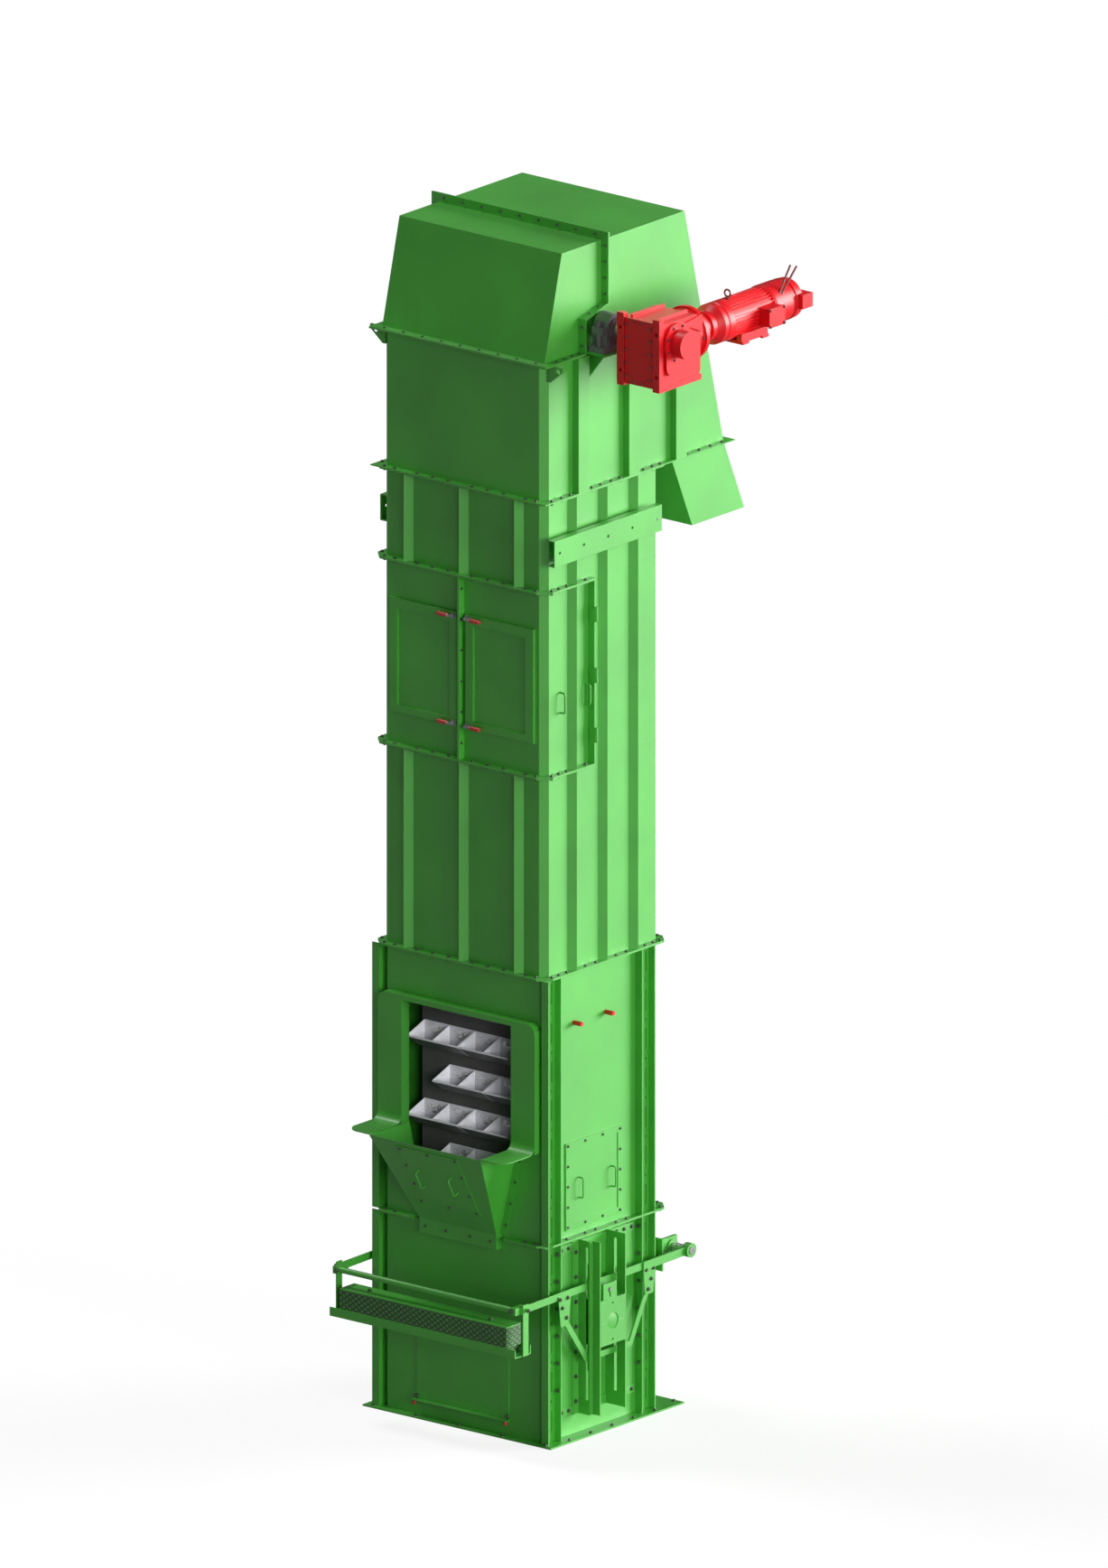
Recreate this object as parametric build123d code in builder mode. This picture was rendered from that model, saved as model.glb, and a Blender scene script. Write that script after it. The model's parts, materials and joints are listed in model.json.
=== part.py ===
from build123d import *
from math import cos, pi, sin
import os

os.makedirs("parts", exist_ok=True)

# Bucket elevator, in millimetres. X runs across the feed face, along the pulley shafts, with the
# drive on the +X side. The feed face looks towards -Y, the discharge leaves at +Y, and Z is up.
# The origin is the middle of the shaft casing's plan, at the underside of the base plate.

# Casing plan
casing_x = 1500.0
casing_y = 1300.0
corner = 50.0
sheet = 6.0
rib_height = 50.0
front_rib_pitch = 510.0
side_rib_pitch = 345.0

# Levels of the bolted joints between the sections
base_thick = 12.0
boot_top = 1480.0
inlet_top = 3470.0
door_bottom = 4970.0
door_top = 6350.0
head_bottom = 7020.0
hood_seam = 8050.0
head_top = 8835.0
flange_out = 60.0
flange_thick = 8.0

# Base plate
base_half_x = 870.0
base_front = 725.0
base_rear = 778.0

# Belt, pulleys and shafts
axis_y = -110.0
tail_axis_z = 837.0
head_axis_z = 8240.0
belt_width = 1230.0
belt_thick = 12.0
pulley_radius = 240.0
pulley_shell = 12.0
pulley_length = 1280.0
shaft_radius = 60.0
bucket_width = 465.0
bucket_gap = 5.0
bucket_depth = 200.0
bucket_height = 140.0
bucket_wall = 5.0
bucket_row_pitch = 290.0
bucket_phase = 0.306
bucket_back = 170.0
lip_height = 97.0
toe_depth = 80.0

# Corner channels of the boot and of the inlet section
channel_depth = 148.0
channel_leg = 65.0
channel_web = 8.0
front_channel_y = -684.0
rear_channel_y = 370.0
channel_slot_y = {front_channel_y: -582.0, rear_channel_y: 478.0}
channel_slot_length = 150.0
channel_slot_width = 18.0
channel_slot_pitch = 290.0
channel_hole_radius = 9.0

# Clean-out opening in the boot's feed face
cleanout_x = 760.0
cleanout_z = 510.0
cleanout_sill = 140.0
cleanout_lap = 45.0
clamp_z = 124.0
clamp_leg = 50.0

# Inlet opening, frame and hopper
inlet_half_x = 505.0
inlet_sill = 2172.0
inlet_head = 3095.0
inlet_front = 731.0
frame_half_x = 726.0
frame_top = 3135.0
frame_corner = 75.0
bend = 60.0
hopper_front = 1084.0
hopper_half_x = 515.0
hopper_toe_y = 710.0
hopper_toe_z = 1500.0
hopper_toe_half_x = 355.0
hopper_foot_height = 110.0
hopper_cover = 560.0
lip_corner = 100.0
cheek_angle = 55.0
plate = 8.0

# Access panel and level sensors on the inlet section's drive side
panel_y0, panel_y1, panel_z0, panel_z1 = -420.0, 210.0, 1540.0, 2190.0
panel_strip = 45.0
sensor_spots = ((-318.0, 3072.0), (38.0, 3070.0))
sensor_radius = 17.0
sensor_length = 75.0

# Door section and its inspection doors
hinge_y = -151.0
split_gap = 1.0
window_x0, window_x1, window_z0, window_z1 = 110.0, 590.0, 5270.0, 5990.0
leaf_x0, leaf_x1, leaf_z0, leaf_z1 = 40.0, 667.0, 5214.0, 6063.0
leaf_depth = 26.0

# Bracket channels for a platform round the head
bracket_z0, bracket_z1 = 6562.0, 6757.0
bracket_ends = {1: (-670.0, 538.0), -1: (-538.0, 670.0)}
bracket_depth = 60.0
bracket_hole_radius = 11.0

# Shaft panels over the boot's side slots
panel_thick = 8.0
shaft_panel_y0, shaft_panel_y1 = -510.0, 345.0
shaft_panel_z0, shaft_panel_z1 = 170.0, 1440.0
frame_band = 60.0

# Take-up: guides, bearing blocks and lever
guide_rear_y = 27.0
guide_front_y = -247.0
guide_out = 180.0
guide_plate = 10.0
guide_bottom = 160.0
guide_top = 1452.0
guide_slot = 25.0
guide_step = 38.0
guide_bend = 6.0
guide_leg = 60.0
guide_slot_bottom = 264.0
guide_slot_top = 1409.0
block_height = 340.0
block_clear = 1.0
block_hole_radius = 8.0
hanger_plate = 16.0
hanger_plate_height = 120.0
keyhole_radius = 20.0
pivot_y = 830.0
pivot_z = 1134.0
arm_x = 850.0
arm_thick = 12.0
arm_height = 55.0
arm_front_y = -1000.0
pivot_shaft_radius = 30.0
pin_clear = 0.3
truss_z = 560.0
tray_half_x = 855.0
tray_front = 1112.0
tray_depth = 180.0
tray_bottom = 765.0
tray_height = 65.0
tray_wall = 8.0
tube_radius = 22.0
cross_tube_y = -1062.0
hanger_pin_radius = 14.0
weight_half_x = 770.0
weight_height = 200.0
weight_plates = 10
weight_joint = 3.0

# Head
head_rear_top = 926.0
head_rear_bottom = 1363.0
hood_front_top = 455.0
hood_split_y = -5.0
hood_step_y = -263.0
hood_step_z = 8370.0
hood_step_low = 8305.0
hood_flange = 67.0
hat_depth = 58.0
hat_width = 120.0
hat_starts = (-334.0, 235.0, 764.0)
lug_hole_radius = 22.0
bearing_x = 905.0
bearing_foot_z = 8075.0
shelf_y0, shelf_y1 = -253.0, 55.0
seal_radius = 80.0
seal_length = 80.0
gusset_y = -165.0
bearing_half = 140.0
bearing_radius = 108.0

# Handles, hinges and clamps of the doors and covers
handle_span = 150.0
door_handle_y = (-476.0, -192.0)
door_handle_z = 5493.0
panel_handle_y = (-273.0, 93.0)
panel_handle_z = 1835.0
door_hinge_z = (5190.0, 5635.0, 6090.0)
hinge_length = 110.0
hinge_radius = 11.0
hinge_leaf = 6.0
clamp_levels = (5234.0, 6036.0)

# Discharge spout
spout_depth = 580.0
spout_bottom = 6470.0
spout_rake = 235.0

# Drive
gearbox_x0 = 1137.0
gearbox_width = 393.0
gearbox_y0 = -307.0
gearbox_depth = 477.0
gearbox_z0 = 7904.0
gearbox_height = 539.0
rail_width = 62.0
rail_depth = 46.0
rail_hole_radius = 14.0
output_flange_radius = 150.0
output_cover_radius = 105.0
output_cover_length = 120.0
bell_radius = 200.0
body_height = 480.0
foot_y0, foot_y1 = 691.0, 983.0
terminal_y0, terminal_y1 = 885.0, 1060.0
fin_count = 36
fin_height = 15.0
fin_thick = 5.0
motor_z = 8198.0
motor_radius = 150.0
motor_y0 = 540.0
motor_length = 855.0

half_x = casing_x / 2
half_y = casing_y / 2


def save(part, name):
    """Label a finished piece and write it to its own file."""
    part.label = name
    export_step(part, f"parts/{name}.step")
    solids = part.solids()
    print(name, len(solids), "solid(s)", round(sum(s.volume for s in solids) / 1e6, 1), "litres")


def rib_points(start, end, outward, spots):
    """Points of one wall from start to end, with a V-ridge pressed outward at each spot."""
    along = (end - start).normalized()
    middle = (start + end) * 0.5
    points = [start]
    for spot in spots:
        at = middle + along * spot
        points += [at - along * rib_height, at + outward * rib_height, at + along * rib_height]
    return points + [end]


def casing_outline(front_ribs=(), side_ribs=()):
    """Plan outline of the casing with chamfered corners, anticlockwise from the front left."""
    hx, hy, cut = half_x, half_y, corner
    walls = [
        (Vector(-hx + cut, -hy), Vector(hx - cut, -hy), Vector(0, -1), front_ribs),
        (Vector(hx, -hy + cut), Vector(hx, hy - cut), Vector(1, 0), side_ribs),
        (Vector(hx - cut, hy), Vector(-hx + cut, hy), Vector(0, 1), front_ribs),
        (Vector(-hx, hy - cut), Vector(-hx, -hy + cut), Vector(-1, 0), side_ribs),
    ]
    points = []
    for start, end, outward, spots in walls:
        points += rib_points(start, end, outward, spots)
    return points


def wall_ring(bottom, top, front_ribs=(), side_ribs=()):
    """Sheet walls between two levels, with the ribs pressed out of them."""
    with BuildPart() as ring:
        with BuildSketch(Plane.XY.offset(bottom)):
            Polygon(*casing_outline(front_ribs, side_ribs), align=None)
            offset(amount=-sheet, kind=Kind.INTERSECTION, mode=Mode.SUBTRACT)
        extrude(amount=top - bottom)
    return ring.part


def flange_ring(bottom):
    """Outstanding flange of one section, with the casing's own opening through it."""
    with BuildPart() as ring:
        with BuildSketch(Plane.XY.offset(bottom)):
            Polygon(*casing_outline(), align=None)
            offset(amount=flange_out, kind=Kind.INTERSECTION)
            with BuildSketch(Plane.XY.offset(bottom), mode=Mode.SUBTRACT):
                Polygon(*casing_outline(), align=None)
                offset(amount=-sheet, kind=Kind.INTERSECTION)
        extrude(amount=flange_thick)
    return ring.part


def section(bottom, top, front_ribs=(), side_ribs=(), foot=True):
    """One casing section: walls with a flange at the top, and at the foot where it is bolted."""
    with BuildPart() as built:
        add(wall_ring(bottom, top, front_ribs, side_ribs))
        add(flange_ring(top - flange_thick))
        if foot:
            add(flange_ring(bottom))
    return built.part


def box(x0, x1, y0, y1, z0, z1, mode=Mode.ADD):
    """A plain block between two planes on each axis, given in either order."""
    x0, x1 = sorted((x0, x1))
    y0, y1 = sorted((y0, y1))
    z0, z1 = sorted((z0, z1))
    with Locations(((x0 + x1) / 2, (y0 + y1) / 2, (z0 + z1) / 2)):
        Box(x1 - x0, y1 - y0, z1 - z0, mode=mode)


front_ribs = (-front_rib_pitch, 0.0, front_rib_pitch)
side_ribs = (-side_rib_pitch, 0.0, side_rib_pitch)

# Base plate
with BuildPart() as base_plate:
    box(-base_half_x, base_half_x, -base_front, base_rear, 0, base_thick)
save(base_plate.part, "base_plate")

# Boot: plain walls, a clean-out opening in front and a tall slot for the shaft in each side
slot_half = shaft_radius + 25.0
cleanout_top = cleanout_sill + cleanout_z
flange_gap_x = hopper_toe_half_x + 60.0
with BuildPart() as boot_casing:
    add(section(base_thick, boot_top, foot=False))
    box(-flange_gap_x, flange_gap_x, -half_y - flange_out - 1, -half_y,
        boot_top - flange_thick - 1, boot_top + 1, Mode.SUBTRACT)
    box(-cleanout_x / 2, cleanout_x / 2, -half_y - 1, -half_y + sheet + 1,
        cleanout_sill, cleanout_top, Mode.SUBTRACT)
    box(-half_x - 1, half_x + 1, axis_y - slot_half, axis_y + slot_half,
        tail_axis_z - 400, tail_axis_z + 400, Mode.SUBTRACT)
save(boot_casing.part, "boot_casing")

# Corner channels, standing outside the side walls with their legs outward
def corner_channels(bottom, top):
    """Four channels, two to a side, between two levels, with a row of slots in each web."""
    with BuildPart() as built:
        for side in (-1, 1):
            for start in (front_channel_y, rear_channel_y):
                end = start + channel_depth
                wall, tip = side * half_x, side * (half_x + channel_leg)
                web = side * (half_x + channel_web)
                box(wall, web, start, end, bottom, top)
                box(wall, tip, start, start + channel_web, bottom, top)
                box(wall, tip, end - channel_web, end, bottom, top)
                count = int((top - bottom - channel_slot_length) / channel_slot_pitch) + 1
                first = (bottom + top - (count - 1) * channel_slot_pitch) / 2
                with BuildSketch(Plane.YZ.offset(min(wall, web))):
                    with Locations([(channel_slot_y[start], first + k * channel_slot_pitch)
                                    for k in range(count)]):
                        SlotOverall(channel_slot_length, channel_slot_width, rotation=90)
                    with Locations([(channel_slot_y[start], first + (k + 0.5) * channel_slot_pitch)
                                    for k in range(count - 1)]):
                        Circle(channel_hole_radius)
                extrude(amount=channel_web, mode=Mode.SUBTRACT)
    return built.part


save(corner_channels(base_thick, boot_top - flange_thick), "boot_corner_channels")
save(corner_channels(boot_top + flange_thick, inlet_top - flange_thick), "inlet_corner_channels")

# Clean-out cover on the boot's feed face, held by a clamp bar of angle
cover_y = -half_y - plate
with BuildPart() as cleanout_cover:
    box(-cleanout_x / 2 - cleanout_lap, cleanout_x / 2 + cleanout_lap, cover_y, -half_y,
        cleanout_sill - cleanout_lap, cleanout_top + cleanout_lap)
save(cleanout_cover.part, "cleanout_cover")

clamp_half = cleanout_x / 2 + 60.0
with BuildPart() as cleanout_clamp:
    with BuildSketch(Plane.YZ.offset(-clamp_half)):
        Polygon((cover_y, clamp_z), (cover_y - clamp_leg, clamp_z), (cover_y - clamp_leg, clamp_z + 6),
                (cover_y - 6, clamp_z + 6), (cover_y - 6, clamp_z + clamp_leg),
                (cover_y, clamp_z + clamp_leg), align=None)
    extrude(amount=2 * clamp_half)
save(cleanout_clamp.part, "cleanout_clamp")

# Inlet section, its feed opening narrowing down to the hopper's toe
opening_foot = boot_top + 40.0
foot_half_x = hopper_toe_half_x - 20.0
with BuildPart() as inlet_casing:
    add(section(boot_top, inlet_top))
    with BuildSketch(Plane.XZ.offset(half_y - sheet - 1)):
        Polygon((-inlet_half_x, inlet_head), (-inlet_half_x, inlet_sill),
                (-foot_half_x, opening_foot), (foot_half_x, opening_foot),
                (inlet_half_x, inlet_sill), (inlet_half_x, inlet_head), align=None)
    extrude(amount=sheet + 2, mode=Mode.SUBTRACT)
    box(-flange_gap_x, flange_gap_x, -half_y - flange_out - 1, -half_y,
        boot_top - 1, boot_top + flange_thick + 1, Mode.SUBTRACT)
save(inlet_casing.part, "inlet_casing")

# Inlet frame: a pressed box frame standing off the wall, bent forward into a lip at each side
face_depth = inlet_front - half_y
with BuildPart() as inlet_frame:
    with BuildSketch(Plane.XZ.offset(half_y)):
        with Locations((0, (frame_top + inlet_sill) / 2)):
            Rectangle(2 * frame_half_x, frame_top - inlet_sill)
        fillet(vertices().group_by(Axis.Y)[-1], frame_corner)
        with Locations((0, (inlet_head + inlet_sill) / 2)):
            Rectangle(2 * inlet_half_x, inlet_head - inlet_sill, mode=Mode.SUBTRACT)
    extrude(amount=face_depth)
    for side in (-1, 1):
        box(side * (inlet_half_x + plate), side * (frame_half_x - plate), -inlet_front + plate, -half_y,
            inlet_sill, inlet_head, Mode.SUBTRACT)
    with BuildSketch(Plane.YZ.offset(-frame_half_x)):
        Polygon((-inlet_front, inlet_sill + 2 * bend), (-inlet_front, inlet_sill + plate),
                (-hopper_front, inlet_sill + plate), (-hopper_front, inlet_sill),
                (-inlet_front + plate, inlet_sill), (-inlet_front + plate, inlet_sill + 2 * bend),
                align=None)
        fillet(vertices().filter_by(lambda v: abs(v.Y - inlet_sill - plate) < 0.1
                                    and abs(v.X + inlet_front) < 0.1), bend)
        fillet(vertices().filter_by(lambda v: abs(v.Y - inlet_sill) < 0.1
                                    and abs(v.X + inlet_front - plate) < 0.1), bend + plate)
    extrude(amount=2 * frame_half_x)
    with BuildSketch(Plane.XY.offset(inlet_sill - 1)):
        Polygon((-hopper_half_x, -hopper_front - 1), (hopper_half_x, -hopper_front - 1),
                (inlet_half_x, -inlet_front), (inlet_half_x, -half_y + 1),
                (-inlet_half_x, -half_y + 1), (-inlet_half_x, -inlet_front), align=None)
    extrude(amount=inlet_head - inlet_sill, mode=Mode.SUBTRACT)
    with BuildSketch(Plane.XY.offset(inlet_sill - 1)):
        for side in (-1, 1):
            with Locations((side * (frame_half_x - lip_corner / 2), -hopper_front + lip_corner / 2)):
                Rectangle(lip_corner + 0.2, lip_corner + 0.2)
            with Locations((side * (frame_half_x - lip_corner), -hopper_front + lip_corner)):
                Circle(lip_corner, mode=Mode.SUBTRACT)
    extrude(amount=plate + 2, mode=Mode.SUBTRACT)
save(inlet_frame.part, "inlet_frame")

# Inlet hopper: a raking front plate between two flared cheeks, closed at the toe, open to the wall
rim_z = inlet_sill - 0.5


def quad(half_front, half_back, front, back, z):
    """A level four-sided outline, wider or narrower at the wall than in front."""
    return Wire.make_polygon([Vector(-half_front, front, z), Vector(half_front, front, z),
                              Vector(half_back, back, z), Vector(-half_back, back, z)])


toe_back_half = foot_half_x + plate
with BuildPart() as inlet_hopper:
    add(Solid.make_loft([
        quad(hopper_half_x, inlet_half_x, -hopper_front, -half_y, rim_z),
        quad(hopper_toe_half_x, toe_back_half, -hopper_toe_y, -half_y, hopper_toe_z)], ruled=True))
    add(Solid.make_loft([
        quad(hopper_half_x - plate, inlet_half_x - plate, -hopper_front + plate, -half_y + 1, rim_z + 1),
        quad(hopper_toe_half_x - plate, toe_back_half - plate, -hopper_toe_y + plate, -half_y + 1,
             hopper_toe_z + plate)], ruled=True), mode=Mode.SUBTRACT)
    box(-hopper_toe_half_x, hopper_toe_half_x, -hopper_toe_y, -hopper_toe_y + plate,
        hopper_toe_z - hopper_foot_height, hopper_toe_z)
    box(-hopper_toe_half_x, hopper_toe_half_x, -hopper_toe_y, -half_y,
        hopper_toe_z - hopper_foot_height, hopper_toe_z - hopper_foot_height + plate)
    for side in (-1, 1):
        box(side * (hopper_toe_half_x - plate), side * hopper_toe_half_x, -hopper_toe_y, -half_y,
            hopper_toe_z - hopper_foot_height, hopper_toe_z)
        with BuildSketch(Plane.XZ.offset(half_y)):
            Polygon((side * (toe_back_half - 1), hopper_toe_z),
                    (side * (toe_back_half + cheek_angle), hopper_toe_z),
                    (side * (inlet_half_x + cheek_angle), rim_z), (side * (inlet_half_x - 1), rim_z),
                    align=None)
        extrude(amount=6)
save(inlet_hopper.part, "inlet_hopper")

rake = Vector(0, hopper_front - hopper_toe_y, hopper_toe_z - rim_z)
rake_length = rake.length
hopper_plane = Plane(origin=(0, -hopper_front, rim_z), x_dir=(1, 0, 0),
                     z_dir=Vector(1, 0, 0).cross(rake) * -1)
with BuildPart() as hopper_cover_plate:
    with BuildSketch(hopper_plane):
        with Locations((0, -rake_length * 0.42)):
            Rectangle(hopper_cover, hopper_cover)
    extrude(amount=6)
save(hopper_cover_plate.part, "hopper_cover")

# Bolted access panel on the drive side of the inlet section
with BuildPart() as side_access_panel:
    box(half_x, half_x + 5, panel_y0, panel_y1, panel_z0, panel_z1)
    for y0, y1, z0, z1 in ((panel_y0, panel_y0 + panel_strip, panel_z0, panel_z1),
                           (panel_y1 - panel_strip, panel_y1, panel_z0, panel_z1),
                           (panel_y0, panel_y1, panel_z0, panel_z0 + panel_strip),
                           (panel_y0, panel_y1, panel_z1 - panel_strip, panel_z1)):
        box(half_x + 5, half_x + 11, y0, y1, z0, z1)
save(side_access_panel.part, "side_access_panel")

# Level sensors
with BuildPart() as level_sensors:
    for y, z in sensor_spots:
        with BuildSketch(Plane.YZ.offset(half_x)):
            with Locations((y, z)):
                Circle(sensor_radius)
        extrude(amount=sensor_length)
save(level_sensors.part, "level_sensors")

# Shaft casings
save(section(inlet_top, door_bottom, front_ribs, side_ribs), "lower_shaft_casing")
save(section(door_top, head_bottom, front_ribs, side_ribs), "upper_shaft_casing")

# Door section: a fixed rear half and two hinged L-shaped front halves
with BuildPart() as door_section_rear:
    add(section(door_bottom, door_top, front_ribs, side_ribs))
    box(-casing_x, casing_x, -casing_y, hinge_y, door_bottom - 1, door_top + 1, Mode.SUBTRACT)
    for side in (-1, 1):
        box(side * half_x, side * (half_x + flange_out), hinge_y, hinge_y + flange_thick,
            door_bottom, door_top)
save(door_section_rear.part, "door_section_rear")


def door_half(side):
    """One L-shaped half casing, flanged at the middle split and at its hinge side."""
    with BuildPart() as built:
        add(section(door_bottom, door_top, (), (-side_rib_pitch, ) if side > 0 else (side_rib_pitch, )))
        box(-casing_x, casing_x, hinge_y - split_gap, casing_y, door_bottom - 1, door_top + 1,
            Mode.SUBTRACT)
        box(side * split_gap / 2, -side * casing_x, -casing_y, casing_y, door_bottom - 1, door_top + 1,
            Mode.SUBTRACT)
        box(side * half_x, side * (half_x + flange_out), hinge_y - split_gap - flange_thick,
            hinge_y - split_gap, door_bottom, door_top)
        box(side * split_gap / 2, side * (split_gap / 2 + flange_thick), -half_y - flange_out,
            -half_y + sheet, door_bottom, door_top)
        box(side * window_x0, side * window_x1, -half_y - 1, -half_y + sheet + 1,
            window_z0, window_z1, Mode.SUBTRACT)
    return built.part


# Inspection doors, one in each half casing
for side, name in ((-1, "left"), (1, "right")):
    save(door_half(side), f"door_half_{name}")
    with BuildPart() as leaf:
        box(side * leaf_x0, side * leaf_x1, -half_y - leaf_depth, -half_y, leaf_z0, leaf_z1)
        box(side * window_x0, side * window_x1, -half_y - leaf_depth - 1, -half_y - plate,
            window_z0, window_z1, Mode.SUBTRACT)
    save(leaf.part, f"inspection_door_{name}")

# Bracket channels on both sides, for the platform round the head
with BuildPart() as bracket_channels:
    for side, (y0, y1) in bracket_ends.items():
        back, face = side * (half_x + rib_height), side * (half_x + rib_height + bracket_depth)
        box(back, face, y0, y1, bracket_z0, bracket_z1)
        box(back, face - side * plate, y0, y1, bracket_z0 + plate, bracket_z1 - plate, Mode.SUBTRACT)
        hole_z = (bracket_z0 + bracket_z1) / 2
        with Locations([(face - side * plate / 2, y0 + 60 + k * (y1 - y0 - 120) / 4, hole_z)
                        for k in range(5)]):
            Cylinder(bracket_hole_radius, 20, rotation=(0, 90, 0), mode=Mode.SUBTRACT)
save(bracket_channels.part, "bracket_channels")


def tube_x(x0, x1, y, z, radius, mode=Mode.ADD):
    """A round bar along X between two stations."""
    with Locations(((x0 + x1) / 2, y, z)):
        Cylinder(radius, abs(x1 - x0), rotation=(0, 90, 0), mode=mode)


def tube_y(y0, y1, x, z, radius, mode=Mode.ADD):
    """A round bar along Y between two stations."""
    with Locations((x, (y0 + y1) / 2, z)):
        Cylinder(radius, abs(y1 - y0), rotation=(90, 0, 0), mode=mode)


def tube_z(z0, z1, x, y, radius, mode=Mode.ADD):
    """A round bar along Z between two levels."""
    with Locations((x, y, (z0 + z1) / 2)):
        Cylinder(radius, abs(z1 - z0), mode=mode)


def wire_handle(start, end, outward, height, radius):
    """A bent wire handle standing off a face between two points."""
    a, b, out = Vector(*start), Vector(*end), Vector(*outward)
    along = (b - a).normalized() * radius * 3
    rise = out * (height - radius)
    with BuildPart() as made:
        with BuildLine() as path:
            one = Line(a, a + rise - out * radius * 3)
            two = Line(a + rise + along, b + rise - along)
            three = Line(b + rise - out * radius * 3, b)
            TangentArc(one @ 1, two @ 0, tangent=one % 1)
            TangentArc(two @ 1, three @ 0, tangent=two % 1)
        with BuildSketch(Plane(origin=a, z_dir=out)):
            Circle(radius)
        sweep(path=path.wires()[0])
    return made.part


# Shaft panels: framed cover plates over the boot's side slots, slotted for the tail shaft
with BuildPart() as shaft_panels:
    for side in (-1, 1):
        wall, face = side * half_x, side * (half_x + panel_thick)
        proud = side * (half_x + 2 * panel_thick)
        box(wall, face, shaft_panel_y0, shaft_panel_y1, shaft_panel_z0, shaft_panel_z1)
        box(face, proud, shaft_panel_y0, shaft_panel_y1, shaft_panel_z0, shaft_panel_z0 + frame_band)
        box(face, proud, shaft_panel_y0, shaft_panel_y1, shaft_panel_z1 - frame_band, shaft_panel_z1)
        for y0, y1 in ((guide_front_y - guide_step - guide_plate - guide_leg - 1, guide_front_y + 1),
                       (guide_rear_y - 1, guide_rear_y + guide_leg + 1)):
            box(face, proud, y0, y1, shaft_panel_z0, shaft_panel_z1, Mode.SUBTRACT)
        box(wall, proud, axis_y - shaft_radius - 5, axis_y + shaft_radius + 5,
            tail_axis_z - 400, tail_axis_z + 400, Mode.SUBTRACT)
save(shaft_panels.part, "shaft_panels")

# Take-up guides: two upright angles to a side, slotted for the lever arm
guide_foot = half_x + panel_thick
guide_tip = half_x + 10 + guide_out
guide_step_x = arm_x + guide_slot / 2 + guide_plate + 2
slot_middle = (guide_slot_bottom + guide_slot_top) / 2
with BuildPart() as takeup_guides:
    for side in (-1, 1):
        y, t, step = guide_front_y, guide_plate, guide_step
        joggle = [(guide_foot, y - step - guide_leg - t), (guide_foot, y - step),
                  (guide_step_x - t, y - step), (guide_step_x - t, y), (guide_tip, y),
                  (guide_tip, y - t), (guide_step_x, y - t), (guide_step_x, y - step - t),
                  (guide_foot + t, y - step - t), (guide_foot + t, y - step - guide_leg - t)]
        angle = [(guide_foot, guide_rear_y), (guide_tip, guide_rear_y), (guide_tip, guide_rear_y + t),
                 (guide_foot + t, guide_rear_y + t), (guide_foot + t, guide_rear_y + guide_leg),
                 (guide_foot, guide_rear_y + guide_leg)]
        for outline in (joggle, angle):
            with BuildSketch(Plane.XY.offset(guide_bottom)):
                Polygon(*[(side * x, at) for x, at in outline], align=None)
                bends = [v for v in vertices() if abs(abs(v.X) - guide_foot - t) < 0.1
                         and (abs(v.Y - y + step + t) < 0.1 or abs(v.Y - guide_rear_y - t) < 0.1)]
                fillet(bends, guide_bend)
            extrude(amount=guide_top - guide_bottom)
        with BuildSketch(Plane.XZ.offset(-guide_rear_y - 20)):
            with Locations((side * arm_x, slot_middle)):
                SlotOverall(guide_slot_top - guide_slot_bottom, guide_slot, rotation=90)
        extrude(amount=guide_rear_y - guide_front_y + guide_step + 60, mode=Mode.SUBTRACT)
save(takeup_guides.part, "takeup_guides")

# Tail bearing blocks, sliding between the guides
block_top = tail_axis_z + block_height / 2
block_y0, block_y1 = guide_front_y + block_clear / 2, guide_rear_y - block_clear / 2
with BuildPart() as tail_bearing_blocks:
    for side in (-1, 1):
        foot, tip = side * (guide_foot + guide_plate), side * guide_tip
        box(foot, tip, block_y0, block_y1, tail_axis_z - block_height / 2, tail_axis_z + block_height / 2)
        with BuildSketch(Plane.YZ.offset(min(tip, tip - side * hanger_plate))):
            with Locations((axis_y - 32, block_top + hanger_plate_height / 2)):
                Rectangle(150, hanger_plate_height)
            with Locations((axis_y - 32, block_top + 70)):
                Circle(keyhole_radius, mode=Mode.SUBTRACT)
            with Locations((axis_y - 32, block_top + 45)):
                Rectangle(keyhole_radius * 0.7, 60, mode=Mode.SUBTRACT)
        extrude(amount=hanger_plate)
        box(tip, tip - side * 3, block_y0, block_y1, tail_axis_z - 2, tail_axis_z + 2, Mode.SUBTRACT)
        for z in (tail_axis_z - 135, tail_axis_z + 135):
            tube_x(tip - side * 25, tip, axis_y, z, block_hole_radius, Mode.SUBTRACT)
        tube_x(foot, tip, axis_y, tail_axis_z, shaft_radius + 0.1, Mode.SUBTRACT)
save(tail_bearing_blocks.part, "tail_bearing_blocks")

# Wire handles on the door halves, on the access panel and on the hopper cover
with BuildPart() as door_handles:
    for side in (-1, 1):
        for y in door_handle_y:
            foot_x = side * half_x
            add(wire_handle((foot_x, y, door_handle_z - handle_span / 2),
                            (foot_x, y, door_handle_z + handle_span / 2), (side, 0, 0), 55, 7))
save(door_handles.part, "door_handles")

with BuildPart() as panel_handles:
    for y in panel_handle_y:
        add(wire_handle((half_x + 5, y, panel_handle_z - handle_span / 2),
                        (half_x + 5, y, panel_handle_z + handle_span / 2), (1, 0, 0), 50, 6))
    for x in (-150, 150):
        foot = hopper_plane.location * Location((x, -rake_length * 0.42 - handle_span / 2, 6))
        head = hopper_plane.location * Location((x, -rake_length * 0.42 + handle_span / 2, 6))
        out = hopper_plane.z_dir
        add(wire_handle(tuple(foot.position), tuple(head.position), tuple(out), 50, 6))
save(panel_handles.part, "panel_handles")

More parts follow.
